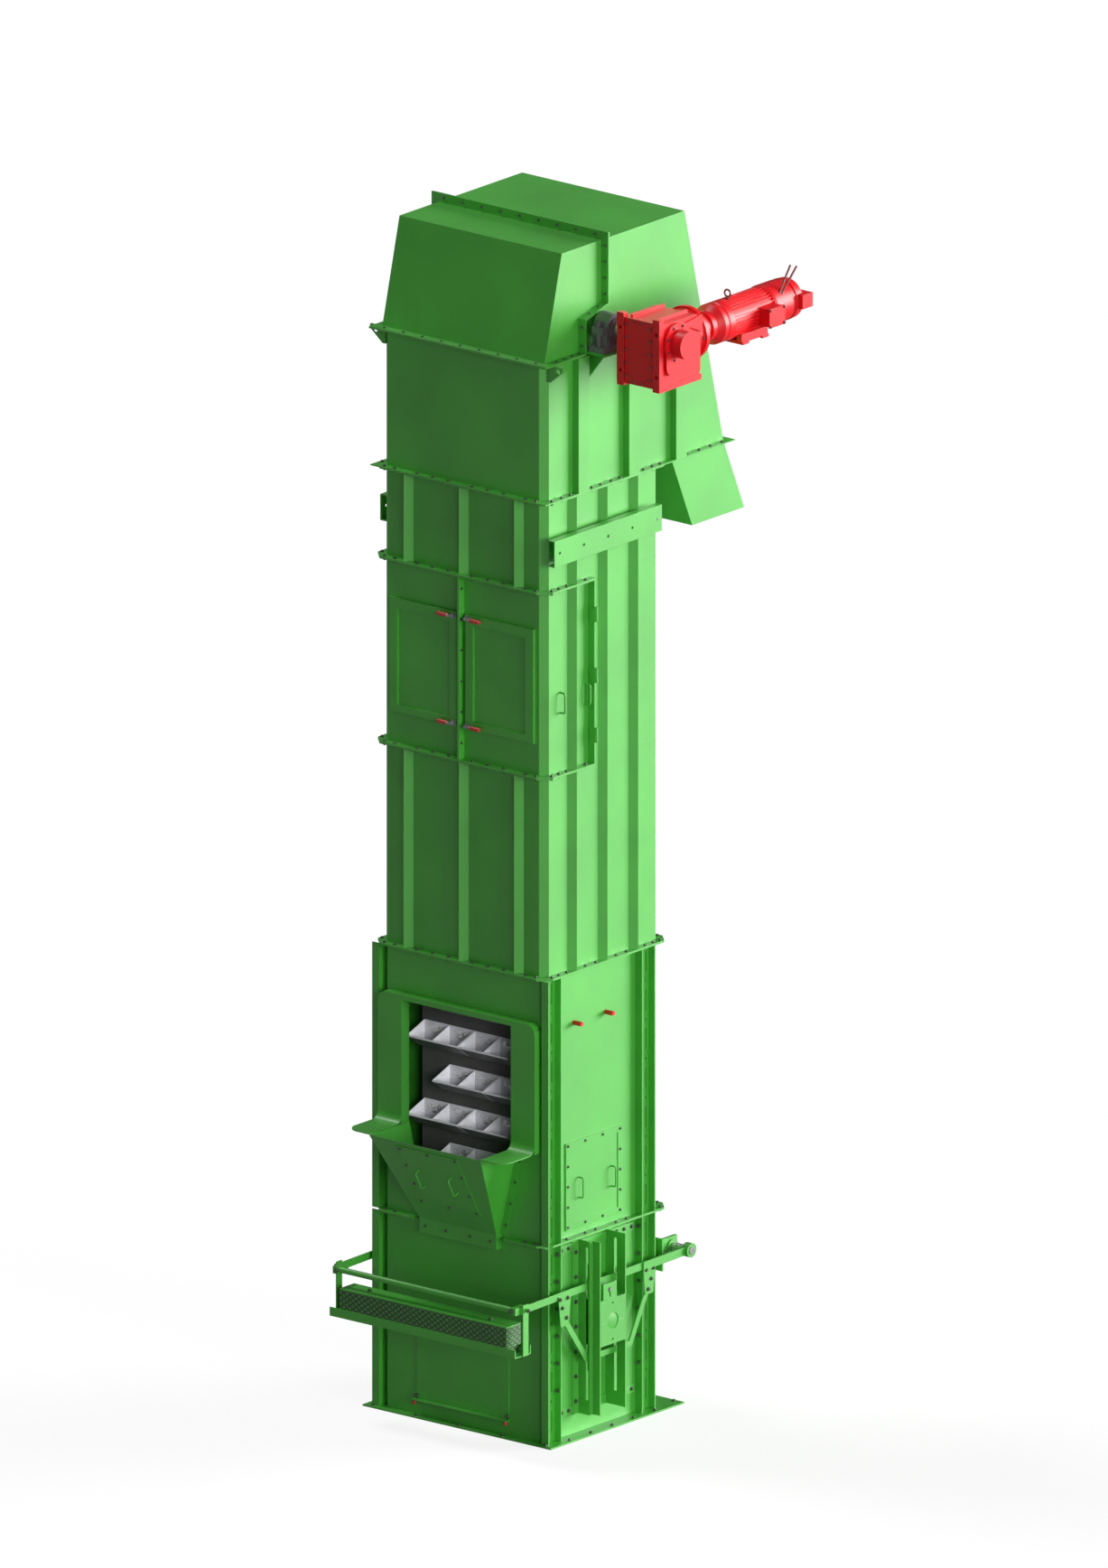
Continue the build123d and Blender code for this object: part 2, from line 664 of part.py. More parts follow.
# Hinges between the door halves and the fixed rear half
with BuildPart() as door_hinges:
    for side in (-1, 1):
        for z in door_hinge_z:
            knuckle_x = side * (half_x + flange_out + hinge_radius + 1)
            tube_z(z - hinge_length / 2, z + hinge_length / 2, knuckle_x, hinge_y, hinge_radius)
            door_face, rear_face = hinge_y - split_gap - flange_thick, hinge_y + flange_thick
            for y0, y1 in ((door_face - hinge_leaf, door_face), (rear_face, rear_face + hinge_leaf)):
                box(side * (half_x + 25), knuckle_x, y0, y1,
                    z - hinge_length / 2 + 4, z + hinge_length / 2 - 4)
save(door_hinges.part, "door_hinges")

# Toggle clamps that hold the inspection doors shut
with BuildPart() as door_clamps:
    for side in (-1, 1):
        for z in clamp_levels:
            y = -half_y - leaf_depth
            box(side * (leaf_x0 + 2), side * (leaf_x0 + 50), y, y - 6, z - 20, z + 20)
            box(side * (leaf_x0 + 12), side * (leaf_x0 + 36), y - 6, y - 26, z - 14, z + 14)
            box(side * (leaf_x0 + 6), side * (leaf_x0 + 110), y - 26, y - 34, z - 9, z + 9)
            tube_x(side * (leaf_x0 + 60), side * (leaf_x0 + 150), y - 30, z, 11)
            tube_y(y - 1, y - 30, side * (leaf_x0 + 24), z, 10)
save(door_clamps.part, "door_clamps")

# Pulleys: a shell on two end discs, bored for the shaft
def pulley(z):
    """A drum on the elevator's axis at one height."""
    half = pulley_length / 2
    with BuildPart() as drum:
        tube_x(-half, half, axis_y, z, pulley_radius)
        tube_x(-half - 1, half + 1, axis_y, z, pulley_radius - pulley_shell, Mode.SUBTRACT)
        for x in (-half + 60, half - 80):
            tube_x(x, x + 20, axis_y, z, pulley_radius - pulley_shell)
            tube_x(x - 30, x + 50, axis_y, z, shaft_radius + 35)
        tube_x(-half - 1, half + 1, axis_y, z, shaft_radius + 0.1, Mode.SUBTRACT)
    return drum.part


save(pulley(tail_axis_z), "tail_pulley")
save(pulley(head_axis_z), "head_pulley")
with BuildPart() as tail_shaft:
    tube_x(-guide_tip + 12, guide_tip - 12, axis_y, tail_axis_z, shaft_radius)
save(tail_shaft.part, "tail_shaft")

# Belt: one closed loop round both pulleys
belt_inner = pulley_radius + 0.3
belt_outer = belt_inner + belt_thick
centre_gap = head_axis_z - tail_axis_z
with BuildPart() as belt:
    with BuildSketch(Plane.YZ.offset(-belt_width / 2)):
        with Locations((axis_y, tail_axis_z + centre_gap / 2)):
            SlotCenterToCenter(centre_gap, 2 * belt_outer, rotation=90)
            SlotCenterToCenter(centre_gap, 2 * belt_inner, rotation=90, mode=Mode.SUBTRACT)
    extrude(amount=belt_width)
save(belt.part, "belt")

# Buckets: pressed, with one divider, in two rows staggered by half a bucket
with BuildPart() as bucket:
    with BuildSketch(Plane.YZ.offset(-bucket_width / 2)):
        Polygon((0, 0), (-toe_depth, 0), (-bucket_depth, lip_height - 10), (-bucket_depth, lip_height),
                (0, bucket_back), align=None)
    extrude(amount=bucket_width)
    cell = (bucket_width - 3 * bucket_wall) / 2
    for start in (-bucket_width / 2 + bucket_wall, bucket_wall / 2):
        with BuildSketch(Plane.YZ.offset(start)):
            Polygon((-bucket_wall, bucket_wall), (-toe_depth + 2, bucket_wall),
                    (-bucket_depth + bucket_wall, lip_height - 7),
                    (-bucket_depth + bucket_wall, bucket_back + 5), (-bucket_wall, bucket_back + 5),
                    align=None)
        extrude(amount=cell, mode=Mode.SUBTRACT)

half_turn = pi * belt_outer
rows = 2 * round((2 * centre_gap + 2 * half_turn) / bucket_row_pitch / 2)
loop_length = 2 * centre_gap + 2 * half_turn


def loop_place(s):
    """Where a bucket's back foot sits after a run s up the feed side, and its turn about X."""
    s = s % loop_length
    if s < centre_gap:
        return Location((0, axis_y - belt_outer, tail_axis_z + s))
    if s < centre_gap + half_turn:
        turn = (s - centre_gap) / belt_outer
        at = (0, axis_y - belt_outer * cos(turn), head_axis_z + belt_outer * sin(turn))
        return Location(at, (-turn * 180 / pi, 0, 0))
    if s < 2 * centre_gap + half_turn:
        return Location((0, axis_y + belt_outer, head_axis_z - (s - centre_gap - half_turn)), (180, 0, 0))
    turn = (s - 2 * centre_gap - half_turn) / belt_outer
    at = (0, axis_y + belt_outer * cos(turn), tail_axis_z - belt_outer * sin(turn))
    return Location(at, (180 - turn * 180 / pi, 0, 0))


stagger = (bucket_width + bucket_gap) / 2
first_x = -(belt_width / 2 - 20) + bucket_width / 2
for parity, name in ((0, "bucket_row_a"), (1, "bucket_row_b")):
    made = []
    for row in range(parity, rows, 2):
        place = loop_place((row + bucket_phase) * loop_length / rows)
        for k in range(2):
            x = first_x + parity * stagger + k * (bucket_width + bucket_gap)
            made.append(bucket.part.moved(place * Location((x, 0, 0))))
    save(Compound(children=made), name)

def seam_flange(thick):
    """The bolting flange along the hood's seam: level in front, stepping up round the shaft."""
    t = thick
    out_y, out_z = -half_y - hood_flange, head_top + hood_flange
    with BuildPart() as built:
        with BuildSketch(Plane.YZ.offset(-half_x - hood_flange)):
            Polygon((out_y, hood_seam), (hood_step_y, hood_seam), (hood_step_y, hood_step_low),
                    (hood_split_y, hood_step_z), (hood_split_y, out_z), (hood_split_y - t, out_z),
                    (hood_split_y - t, hood_step_z + t), (hood_step_y - t, hood_step_low + t),
                    (hood_step_y - t, hood_seam + t), (out_y, hood_seam + t), align=None)
        extrude(amount=casing_x + 2 * hood_flange)
        box(-half_x + sheet / 2, half_x - sheet / 2, -half_y + sheet / 2, casing_y,
            hood_seam - 100, head_top - sheet / 2, Mode.SUBTRACT)
    return built.part


def head_foot():
    """Bottom flange of the head, open to the shaft casing and to the discharge spout."""
    with BuildPart() as built:
        box(-half_x - flange_out, half_x + flange_out, -half_y - flange_out,
            head_rear_bottom + flange_out, head_bottom, head_bottom + flange_thick)
        with BuildSketch(Plane.XY.offset(head_bottom)):
            Polygon(*casing_outline(), align=None)
            offset(amount=-sheet, kind=Kind.INTERSECTION)
        extrude(amount=flange_thick, mode=Mode.SUBTRACT)
        box(-half_x + sheet, half_x - sheet, head_rear_bottom - spout_depth, head_rear_bottom - sheet,
            head_bottom, head_bottom + flange_thick, Mode.SUBTRACT)
    return built.part


# Head casing: flat walls, open to the hood in front, raked behind, with hat stiffeners
rake_y = (head_rear_bottom - head_rear_top) / (head_top - head_bottom)
with BuildPart() as head_cavity:
    with BuildSketch(Plane.YZ.offset(-half_x + sheet)):
        Polygon((-half_y + sheet, head_bottom - 10), (-half_y + sheet, head_top - sheet),
                (head_rear_top - sheet, head_top - sheet),
                (head_rear_bottom - sheet + 10 * rake_y, head_bottom - 10), align=None)
    extrude(amount=casing_x - 2 * sheet)
    chamfer(edges().filter_by(Axis.Z).group_by(Axis.Y)[0], corner * 0.93)

with BuildPart() as head_casing:
    with BuildSketch(Plane.YZ.offset(-half_x)):
        Polygon((-half_y, head_bottom), (-half_y, hood_seam), (hood_step_y, hood_seam),
                (hood_step_y, hood_step_low), (hood_split_y, hood_step_z), (hood_split_y, head_top),
                (head_rear_top, head_top), (head_rear_bottom, head_bottom), align=None)
    extrude(amount=casing_x)
    chamfer(edges().filter_by(Axis.Z).group_by(Axis.Y)[0], corner)
    add(head_cavity.part, mode=Mode.SUBTRACT)
    for y in hat_starts:
        for side in (-1, 1):
            box(side * half_x, side * (half_x + hat_depth), y, y + hat_width,
                head_bottom + flange_thick, hood_seam - 2 * flange_thick)
            box(side * half_x, side * (half_x + hat_depth - sheet), y + sheet, y + hat_width - sheet,
                head_bottom + flange_thick, hood_seam - 2 * flange_thick, Mode.SUBTRACT)
    add(seam_flange(-flange_thick))
    add(head_foot())
    tube_x(-casing_x, casing_x, axis_y, head_axis_z, shaft_radius + 15, Mode.SUBTRACT)
save(head_casing.part, "head_casing")

# Front hood, lifted off after its seam is unbolted
with BuildPart() as front_hood:
    with BuildSketch(Plane.YZ.offset(-half_x)):
        Polygon((-half_y, hood_seam), (-hood_front_top, head_top), (hood_split_y, head_top),
                (hood_split_y, hood_step_z), (hood_step_y, hood_step_low), (hood_step_y, hood_seam),
                align=None)
    extrude(amount=casing_x)
    with BuildSketch(Plane.YZ.offset(-half_x + sheet)):
        Polygon((-half_y + sheet, hood_seam - 1), (-hood_front_top + sheet, head_top - sheet),
                (hood_split_y + 1, head_top - sheet), (hood_split_y + 1, hood_seam - 1), align=None)
    extrude(amount=casing_x - 2 * sheet, mode=Mode.SUBTRACT)
    add(seam_flange(flange_thick))
save(front_hood.part, "front_hood")

# Lifting lugs at the head's front corners
with BuildPart() as lifting_lugs:
    for side in (-1, 1):
        box(side * half_x, side * (half_x + 85), -615, -600, hood_seam - 110, hood_seam - 8)
        tube_y(-616, -599, side * (half_x + 52), hood_seam - 55, lug_hole_radius, Mode.SUBTRACT)
save(lifting_lugs.part, "lifting_lugs")

# Head shaft with its seals, bearings and brackets
shelf_x = half_x + 230.0
with BuildPart() as head_shaft:
    tube_x(-shelf_x - 20, gearbox_x0 + gearbox_width + 60, axis_y, head_axis_z, shaft_radius)
save(head_shaft.part, "head_shaft")

with BuildPart() as shaft_seals:
    for side in (-1, 1):
        tube_x(side * half_x, side * (half_x + seal_length), axis_y, head_axis_z, seal_radius)
        tube_x(side * half_x, side * (half_x + seal_length), axis_y, head_axis_z,
               shaft_radius + 0.1, Mode.SUBTRACT)
save(shaft_seals.part, "shaft_seals")

with BuildPart() as bearing_brackets:
    for side in (-1, 1):
        box(side * half_x, side * shelf_x, shelf_y0, shelf_y1, bearing_foot_z - 20, bearing_foot_z)
        with BuildSketch(Plane.XZ.offset(-gusset_y)):
            Polygon((side * half_x, bearing_foot_z - 20), (side * (shelf_x - 60), bearing_foot_z - 20),
                    (side * half_x, bearing_foot_z - 240), align=None)
        extrude(amount=-15)
save(bearing_brackets.part, "bearing_brackets")

with BuildPart() as head_bearings:
    for side in (-1, 1):
        near, far = side * (bearing_x - 65), side * (bearing_x + 65)
        foot, body, top = bearing_foot_z, bearing_radius, bearing_foot_z + 45
        with BuildSketch(Plane.YZ.offset(min(near, far))):
            Polygon((axis_y - bearing_half, foot), (axis_y + bearing_half, foot),
                    (axis_y + bearing_half, top), (axis_y + body, top + 15), (axis_y + body, head_axis_z),
                    (axis_y - body, head_axis_z), (axis_y - body, top + 15), (axis_y - bearing_half, top),
                    align=None)
            with Locations((axis_y, head_axis_z)):
                Circle(body)
        extrude(amount=130)
        box(near + side * 15, far - side * 15, axis_y - body - 30, axis_y + body + 30,
            head_axis_z - 28, head_axis_z + 28)
        for y in (axis_y - body - 8, axis_y + body + 8):
            tube_z(top - 5, head_axis_z + 62, side * bearing_x, y, 20)
        for k in range(-2, 3):
            y = axis_y + k * 40
            box(near - side * 6, far + side * 6, y - 6, y + 6, top, head_axis_z - 60)
        tube_x(near - side * 6, far + side * 20, axis_y, head_axis_z, 82)
        tube_x(near - side * 7, far + side * 21, axis_y, head_axis_z, shaft_radius + 0.1, Mode.SUBTRACT)
save(head_bearings.part, "head_bearings")

# Discharge spout, raking backwards under the head
with BuildPart() as discharge_spout:
    spout_top = head_bottom - 0.5
    front_top, rear_top = head_rear_bottom - spout_depth - sheet, head_rear_bottom
    with BuildSketch(Plane.YZ.offset(-half_x)):
        Polygon((front_top, spout_top), (rear_top, spout_top), (rear_top + spout_rake, spout_bottom),
                (front_top + spout_rake, spout_bottom), align=None)
    extrude(amount=casing_x)
    with BuildSketch(Plane.YZ.offset(-half_x + sheet)):
        Polygon((front_top + sheet, spout_top), (rear_top - sheet, spout_top),
                (rear_top + spout_rake - sheet, spout_bottom),
                (front_top + spout_rake + sheet, spout_bottom), align=None)
    extrude(amount=casing_x - 2 * sheet, mode=Mode.SUBTRACT)
save(discharge_spout.part, "discharge_spout")

# Shaft-mounted bevel gearbox
gear_x1 = gearbox_x0 + gearbox_width
gear_y1 = gearbox_y0 + gearbox_depth
gear_z1 = gearbox_z0 + gearbox_height
motor_x = gearbox_x0 + gearbox_width / 2
bell_y = gear_y1 + 92
with BuildPart() as gearbox:
    with BuildSketch(Plane.YZ.offset(gearbox_x0 + 12)):
        with Locations(((gearbox_y0 + gear_y1) / 2 + 10, gearbox_z0 + 15 + body_height / 2)):
            Rectangle(gearbox_depth - 20, body_height)
        fillet(vertices().group_by(Axis.X)[-1], 70)
    extrude(amount=gearbox_width - 24)
    for x0, x1 in ((gearbox_x0, gearbox_x0 + rail_width), (gear_x1 - rail_width, gear_x1)):
        with BuildSketch(Plane.YZ.offset(x0)):
            with Locations((gearbox_y0 + rail_depth / 2, (gearbox_z0 + gear_z1) / 2)):
                Rectangle(rail_depth, gearbox_height)
            with Locations(((gearbox_y0 + gear_y1) / 2, gearbox_z0 + rail_depth / 2)):
                Rectangle(gearbox_depth, rail_depth)
            fillet(vertices().group_by(Axis.X)[-1], 15)
        extrude(amount=x1 - x0)
        for z in (gearbox_z0 + 110, gear_z1 - 110):
            tube_y(gearbox_y0 - 1, gearbox_y0 + rail_depth + 1, (x0 + x1) / 2, z,
                   rail_hole_radius, Mode.SUBTRACT)
    box(gearbox_x0 + rail_width + 6, gear_x1 - rail_width - 6, gearbox_y0 + 8, gearbox_y0 + 24,
        gearbox_z0 + 30, gear_z1 - 30)
    for side, face in ((1, gear_x1 - 12), (-1, gearbox_x0 + 12)):
        tube_x(face, face + side * 28, axis_y, head_axis_z, output_flange_radius)
    tube_x(gear_x1, gear_x1 + output_cover_length, axis_y, head_axis_z, output_cover_radius)
    with BuildSketch(Plane.YZ.offset(gear_x1 - 12)):
        with Locations((axis_y - 60, gearbox_z0 + 185)):
            Circle(78)
        with Locations((axis_y - 60, gearbox_z0 + 240)):
            Rectangle(156, 110)
    extrude(amount=32)
    with BuildSketch(Plane.YZ.offset(gear_x1 - 12)):
        Polygon((axis_y + 60, head_axis_z + 120), (gear_y1, head_axis_z + 150), (gear_y1, head_axis_z + 20),
                align=None)
    extrude(amount=20)
    with BuildSketch(Plane.XZ.offset(-gear_y1 + 30)):
        with Locations((motor_x, motor_z)):
            Circle(165)
    with BuildSketch(Plane.XZ.offset(-bell_y + 35)):
        with Locations((motor_x, motor_z)):
            Circle(bell_radius - 18)
    loft()
    tube_y(bell_y - 35, bell_y, motor_x, motor_z, bell_radius)
    for x in (gearbox_x0 + 90, gear_x1 - 90):
        box(x - 9, x + 9, gearbox_y0 + 60, gear_y1 - 60, gearbox_z0 + body_height, gearbox_z0 + body_height + 40)
    tube_x(gearbox_x0 - 41, gear_x1 + 70, axis_y, head_axis_z, shaft_radius + 0.1, Mode.SUBTRACT)
save(gearbox.part, "gearbox")

# Coupling lantern between the gearbox and the motor, turned in steps
lantern_y0 = bell_y
lantern_steps = ((0, 172), (20, 172), (70, 118), (110, 104), (110, 96), (150, 96), (150, 112), (195, 112),
                 (215, 128), (240, 150), (motor_y0 - lantern_y0, 150))
with BuildPart() as coupling_lantern:
    with BuildSketch(Plane.YZ.offset(motor_x)):
        Polygon((lantern_y0, motor_z), *[(lantern_y0 + y, motor_z + r) for y, r in lantern_steps],
                (motor_y0, motor_z), align=None)
    revolve(axis=Axis((motor_x, 0, motor_z), (0, 1, 0)))
save(coupling_lantern.part, "coupling_lantern")

# Motor with cooling fins, foot, terminal box and brake
fin_y0, fin_y1 = motor_y0 + 80, motor_y0 + 520
root = motor_radius - fin_height
motor_steps = ((0, 138), (20, 150), (75, 150), (80, root), (520, root), (525, 150), (545, 156),
               (720, 156), (730, 146), (760, 146), (765, 155), (830, 150), (motor_length, 120))
with BuildPart() as drive_motor:
    with BuildSketch(Plane.YZ.offset(motor_x)):
        Polygon((motor_y0, motor_z), *[(motor_y0 + y, motor_z + r) for y, r in motor_steps],
                (motor_y0 + motor_length, motor_z), align=None)
    revolve(axis=Axis((motor_x, 0, motor_z), (0, 1, 0)))
    with BuildSketch(Plane.XZ.offset(-fin_y0)):
        with Locations((motor_x, motor_z)):
            with PolarLocations(motor_radius - fin_height / 2 - 1, fin_count):
                Rectangle(fin_height + 2, fin_thick)
    extrude(amount=-(fin_y1 - fin_y0))
    for y in (foot_y0, foot_y1 - 70):
        box(motor_x - 150, motor_x + 150, y, y + 70, motor_z - 172, motor_z - 150)
    for x in (-140, 90):
        box(motor_x + x, motor_x + x + 50, foot_y0, foot_y1, motor_z - 160, motor_z - 95)
    box(motor_x + 110, motor_x + 226, terminal_y0 + 8, terminal_y1 - 8, motor_z - 72, motor_z + 58)
    box(motor_x + 226, motor_x + 238, terminal_y0, terminal_y1, motor_z - 78, motor_z + 64)
    box(motor_x + 67, motor_x + 190, motor_y0 + motor_length - 80, motor_y0 + motor_length + 34,
        motor_z - 43, motor_z + 61)
save(drive_motor.part, "drive_motor")

# Gravity take-up: weighted lever arms turning on a cross shaft behind the boot
arm_x0, arm_x1 = arm_x - arm_thick / 2, arm_x + arm_thick / 2
arm_front_z = pivot_z - 28.0


def arm_bar(side, start, end, height, x0, x1):
    """A flat bar on edge between two (Y, Z) points, square-ended."""
    a, b = Vector(*start), Vector(*end)
    across = Vector(-(b - a).Y, (b - a).X).normalized() * (height / 2)
    with BuildPart() as bar:
        with BuildSketch(Plane.YZ.offset(min(side * x0, side * x1))):
            Polygon(a + across, a - across, b - across, b + across, align=None)
        extrude(amount=x1 - x0)
    return bar.part


with BuildPart() as takeup_arms:
    for side in (-1, 1):
        add(arm_bar(side, (arm_front_y - 40, arm_front_z), (pivot_y + 45, pivot_z),
                    arm_height, arm_x0, arm_x1))
        add(arm_bar(side, (323, pivot_z - 8), (pivot_y + 45, pivot_z), 62, arm_x1, arm_x1 + 14))
        tube_x(side * arm_x0, side * (arm_x1 + 40), pivot_y, pivot_z, 52)
        for y0, y1, top, foot in ((-630, -488, arm_front_z + 10, (-560, 885)),
                                  (324, 467, pivot_z - 12, (390, 907))):
            with BuildSketch(Plane.YZ.offset(min(side * arm_x1, side * (arm_x1 + 8)))):
                Polygon((y0, top), (y1, top), (foot[0] + 45, foot[1]), (foot[0] - 45, foot[1]),
                        align=None)
            extrude(amount=8)
        for start, end in (((-575, 960), (-300, truss_z + 20)), ((405, 980), (190, truss_z + 20)),
                           ((-320, truss_z + 20), (210, truss_z + 20))):
            add(arm_bar(side, start, end, 45, arm_x0, arm_x1))
        tube_x(side * (arm_x0 - 1), side * (arm_x1 + 41), pivot_y, pivot_z,
               pivot_shaft_radius + 0.1, Mode.SUBTRACT)
        tube_x(side * (arm_x0 - 1), side * (arm_x1 + 1), arm_front_y, arm_front_z,
               hanger_pin_radius + 0.1, Mode.SUBTRACT)
save(takeup_arms.part, "takeup_arms")

with BuildPart() as takeup_pivot_shaft:
    tube_x(-arm_x1 - 45, arm_x1 + 45, pivot_y, pivot_z, pivot_shaft_radius)
save(takeup_pivot_shaft.part, "takeup_pivot_shaft")

with BuildPart() as takeup_pivot_brackets:
    for side in (-1, 1):
        x = side * 700
        box(x - 12, x + 12, half_y, pivot_y + 60, pivot_z - 110, pivot_z + 70)
        box(x - 70, x + 70, half_y, half_y + 14, pivot_z - 140, pivot_z + 100)
        tube_x(x - 25, x + 25, pivot_y, pivot_z, 55)
        tube_x(x - 26, x + 26, pivot_y, pivot_z, pivot_shaft_radius + pin_clear, Mode.SUBTRACT)
save(takeup_pivot_brackets.part, "takeup_pivot_brackets")

# Cross tube, hangers, tray and weights at the front of the lever
strap_x0, strap_x1 = arm_x1, arm_x1 + 10
with BuildPart() as takeup_cross_tube:
    tube_x(-arm_x0, arm_x0, cross_tube_y, arm_front_z, tube_radius)
    for side in (-1, 1):
        box(side * (arm_x0 - 46), side * arm_x0, cross_tube_y - 30, arm_front_y + 30,
            arm_front_z - 28, arm_front_z + 26)
        tube_x(side * (arm_x0 - 10), side * (strap_x1 + 22), arm_front_y, arm_front_z, hanger_pin_radius)
save(takeup_cross_tube.part, "takeup_cross_tube")

with BuildPart() as weight_hangers:
    for side in (-1, 1):
        box(side * strap_x0, side * strap_x1, arm_front_y - 30, arm_front_y + 30,
            tray_bottom, arm_front_z + 40)
        tube_x(side * (strap_x0 - 1), side * (strap_x1 + 1), arm_front_y, arm_front_z,
               hanger_pin_radius + 0.1, Mode.SUBTRACT)
save(weight_hangers.part, "weight_hangers")

with BuildPart() as weight_tray:
    box(-strap_x0, strap_x0, -tray_front, -tray_front + tray_depth, tray_bottom,
        tray_bottom + tray_height)
    box(-strap_x0, strap_x0, -tray_front + tray_wall, -tray_front + tray_depth - tray_wall,
        tray_bottom + tray_wall, tray_bottom + tray_height, Mode.SUBTRACT)
save(weight_tray.part, "weight_tray")

plate_height = weight_height / weight_plates
with BuildPart() as weights:
    for k in range(weight_plates):
        foot = tray_bottom + tray_wall + k * plate_height
        inset = tray_wall + weight_joint
        box(-weight_half_x + weight_joint, weight_half_x - weight_joint, -tray_front + inset,
            -tray_front + tray_depth - inset, foot, foot + plate_height)
        box(-weight_half_x, weight_half_x, -tray_front + tray_wall,
            -tray_front + tray_depth - tray_wall, foot, foot + plate_height - weight_joint)
save(weights.part, "weights")

with BuildPart() as weight_cover:
    box(-weight_half_x, weight_half_x, -tray_front + tray_wall, -tray_front + tray_depth - tray_wall,
        tray_bottom + tray_wall + weight_height, tray_bottom + tray_wall + weight_height + 10)
save(weight_cover.part, "weight_cover")
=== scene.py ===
# %% [markdown]
# # A bucket elevator, from its imported frame to a finished picture
# The imported CAD model already holds every large piece of the plant in its right place, in metres.
# This script gives those pieces real materials, adds the small parts that the CAD model leaves out,
# and sets up the light and the camera.
# %% [markdown]
# ## 1. Load the frame
# The frame is loaded first.
# %%
import bpy
import json
from math import cos, pi, radians, sin
from mathutils import Matrix, Vector

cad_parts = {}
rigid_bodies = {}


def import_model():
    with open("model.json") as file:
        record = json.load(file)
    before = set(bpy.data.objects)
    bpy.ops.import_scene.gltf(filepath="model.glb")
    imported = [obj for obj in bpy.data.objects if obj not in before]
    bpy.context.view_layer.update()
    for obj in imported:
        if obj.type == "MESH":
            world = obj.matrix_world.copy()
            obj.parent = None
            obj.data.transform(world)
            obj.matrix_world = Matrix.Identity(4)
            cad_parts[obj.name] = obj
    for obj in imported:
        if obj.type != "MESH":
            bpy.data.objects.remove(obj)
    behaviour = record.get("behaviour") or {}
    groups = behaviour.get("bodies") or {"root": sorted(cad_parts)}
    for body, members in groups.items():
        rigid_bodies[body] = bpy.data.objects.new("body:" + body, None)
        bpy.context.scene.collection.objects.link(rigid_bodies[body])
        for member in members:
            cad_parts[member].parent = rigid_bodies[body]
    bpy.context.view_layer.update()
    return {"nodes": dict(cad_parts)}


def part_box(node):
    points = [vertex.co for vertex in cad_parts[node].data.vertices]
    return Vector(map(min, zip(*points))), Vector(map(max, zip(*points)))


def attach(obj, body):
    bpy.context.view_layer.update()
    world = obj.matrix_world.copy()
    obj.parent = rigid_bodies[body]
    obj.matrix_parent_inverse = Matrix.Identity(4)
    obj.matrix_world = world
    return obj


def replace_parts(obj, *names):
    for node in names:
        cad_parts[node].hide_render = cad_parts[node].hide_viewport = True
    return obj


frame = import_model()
def node_object(name):
    info = frame["nodes"][name]
    return bpy.data.objects[info["object"]] if isinstance(info, dict) else info
# %% [markdown]
# ## 2. The camera
# The picture was drawn without perspective, so the camera is orthographic. Its direction comes from the
# slopes of the plant's long edges: it looks 39.4 degrees round from the front and 16.7 degrees down.
# The picture's middle lies 4.44 m up the casing and a little to its right.
# %%
azimuth, elevation = radians(39.4), radians(16.7)
middle_right, middle_up = 0.2354, 4.4376
picture_height, camera_distance = 11.197, 40
right = Vector((cos(azimuth), sin(azimuth), 0))
towards = Vector((sin(azimuth) * cos(elevation), -cos(azimuth) * cos(elevation), sin(elevation)))
up = towards.cross(right)
centre = right * middle_right + up * middle_up
camera_data = bpy.data.cameras.new("camera")
camera_data.type = "ORTHO"
camera_data.ortho_scale = picture_height
camera_data.clip_end = 200
camera = bpy.data.objects.new("camera", camera_data)
bpy.context.scene.collection.objects.link(camera)
turn = Matrix((right, up, towards)).transposed().to_4x4()
camera.matrix_world = Matrix.Translation(centre + towards * camera_distance) @ turn
bpy.context.scene.camera = camera
bpy.context.scene.view_settings.view_transform = "Standard"
print("camera at", [round(v, 2) for v in camera.location])
# %% [markdown]
# ## 3. The light
# In the picture every face that looks to the right is bright, the tops are plain green and the front is
# dark. Two large soft lights stand to the right: one shines straight at the side, also into the channels
# and the inlet, and one behind the plant gives the paint its pale sheen. A light from above on the left
# draws the bright line along bends and tubes, and a weak one near the camera lifts the inlet's inside.
# %%
near_camera = (0.78, -0.58, 0.24)
def add_light(name, strength, spread, direction):
    data = bpy.data.lights.new(name, "SUN")
    data.energy, data.angle = strength, radians(spread)
    light = bpy.data.objects.new(name, data)
    bpy.context.scene.collection.objects.link(light)
    light.rotation_euler = Vector(direction).to_track_quat("Z", "Y").to_euler()
    return light
add_light("side_light", 1.25, 26, (0.97, -0.12, 0.20))
add_light("sheen_light", 5.0, 39, (0.64, 0.76, 0.13))
add_light("top_light", 1.05, 14, (-0.45, -0.05, 0.90))
add_light("camera_side_light", 0.45, 24, near_camera)
# %% [markdown]
# The buckets stand deep in the inlet, where little of this arrives, so a lamp of their own shines on them
# and the belt only. Blender calls that light linking: the lamp gets a collection of the pieces it lights.
# %%
inlet_light = add_light("inlet_light", 2.4, 24, near_camera)
lit_by_inlet_light = bpy.data.collections.new("lit_by_inlet_light")
inlet_light.light_linking.receiver_collection = lit_by_inlet_light
for name in ("belt", "bucket_row_a", "bucket_row_b"):
    lit_by_inlet_light.objects.link(node_object(name))
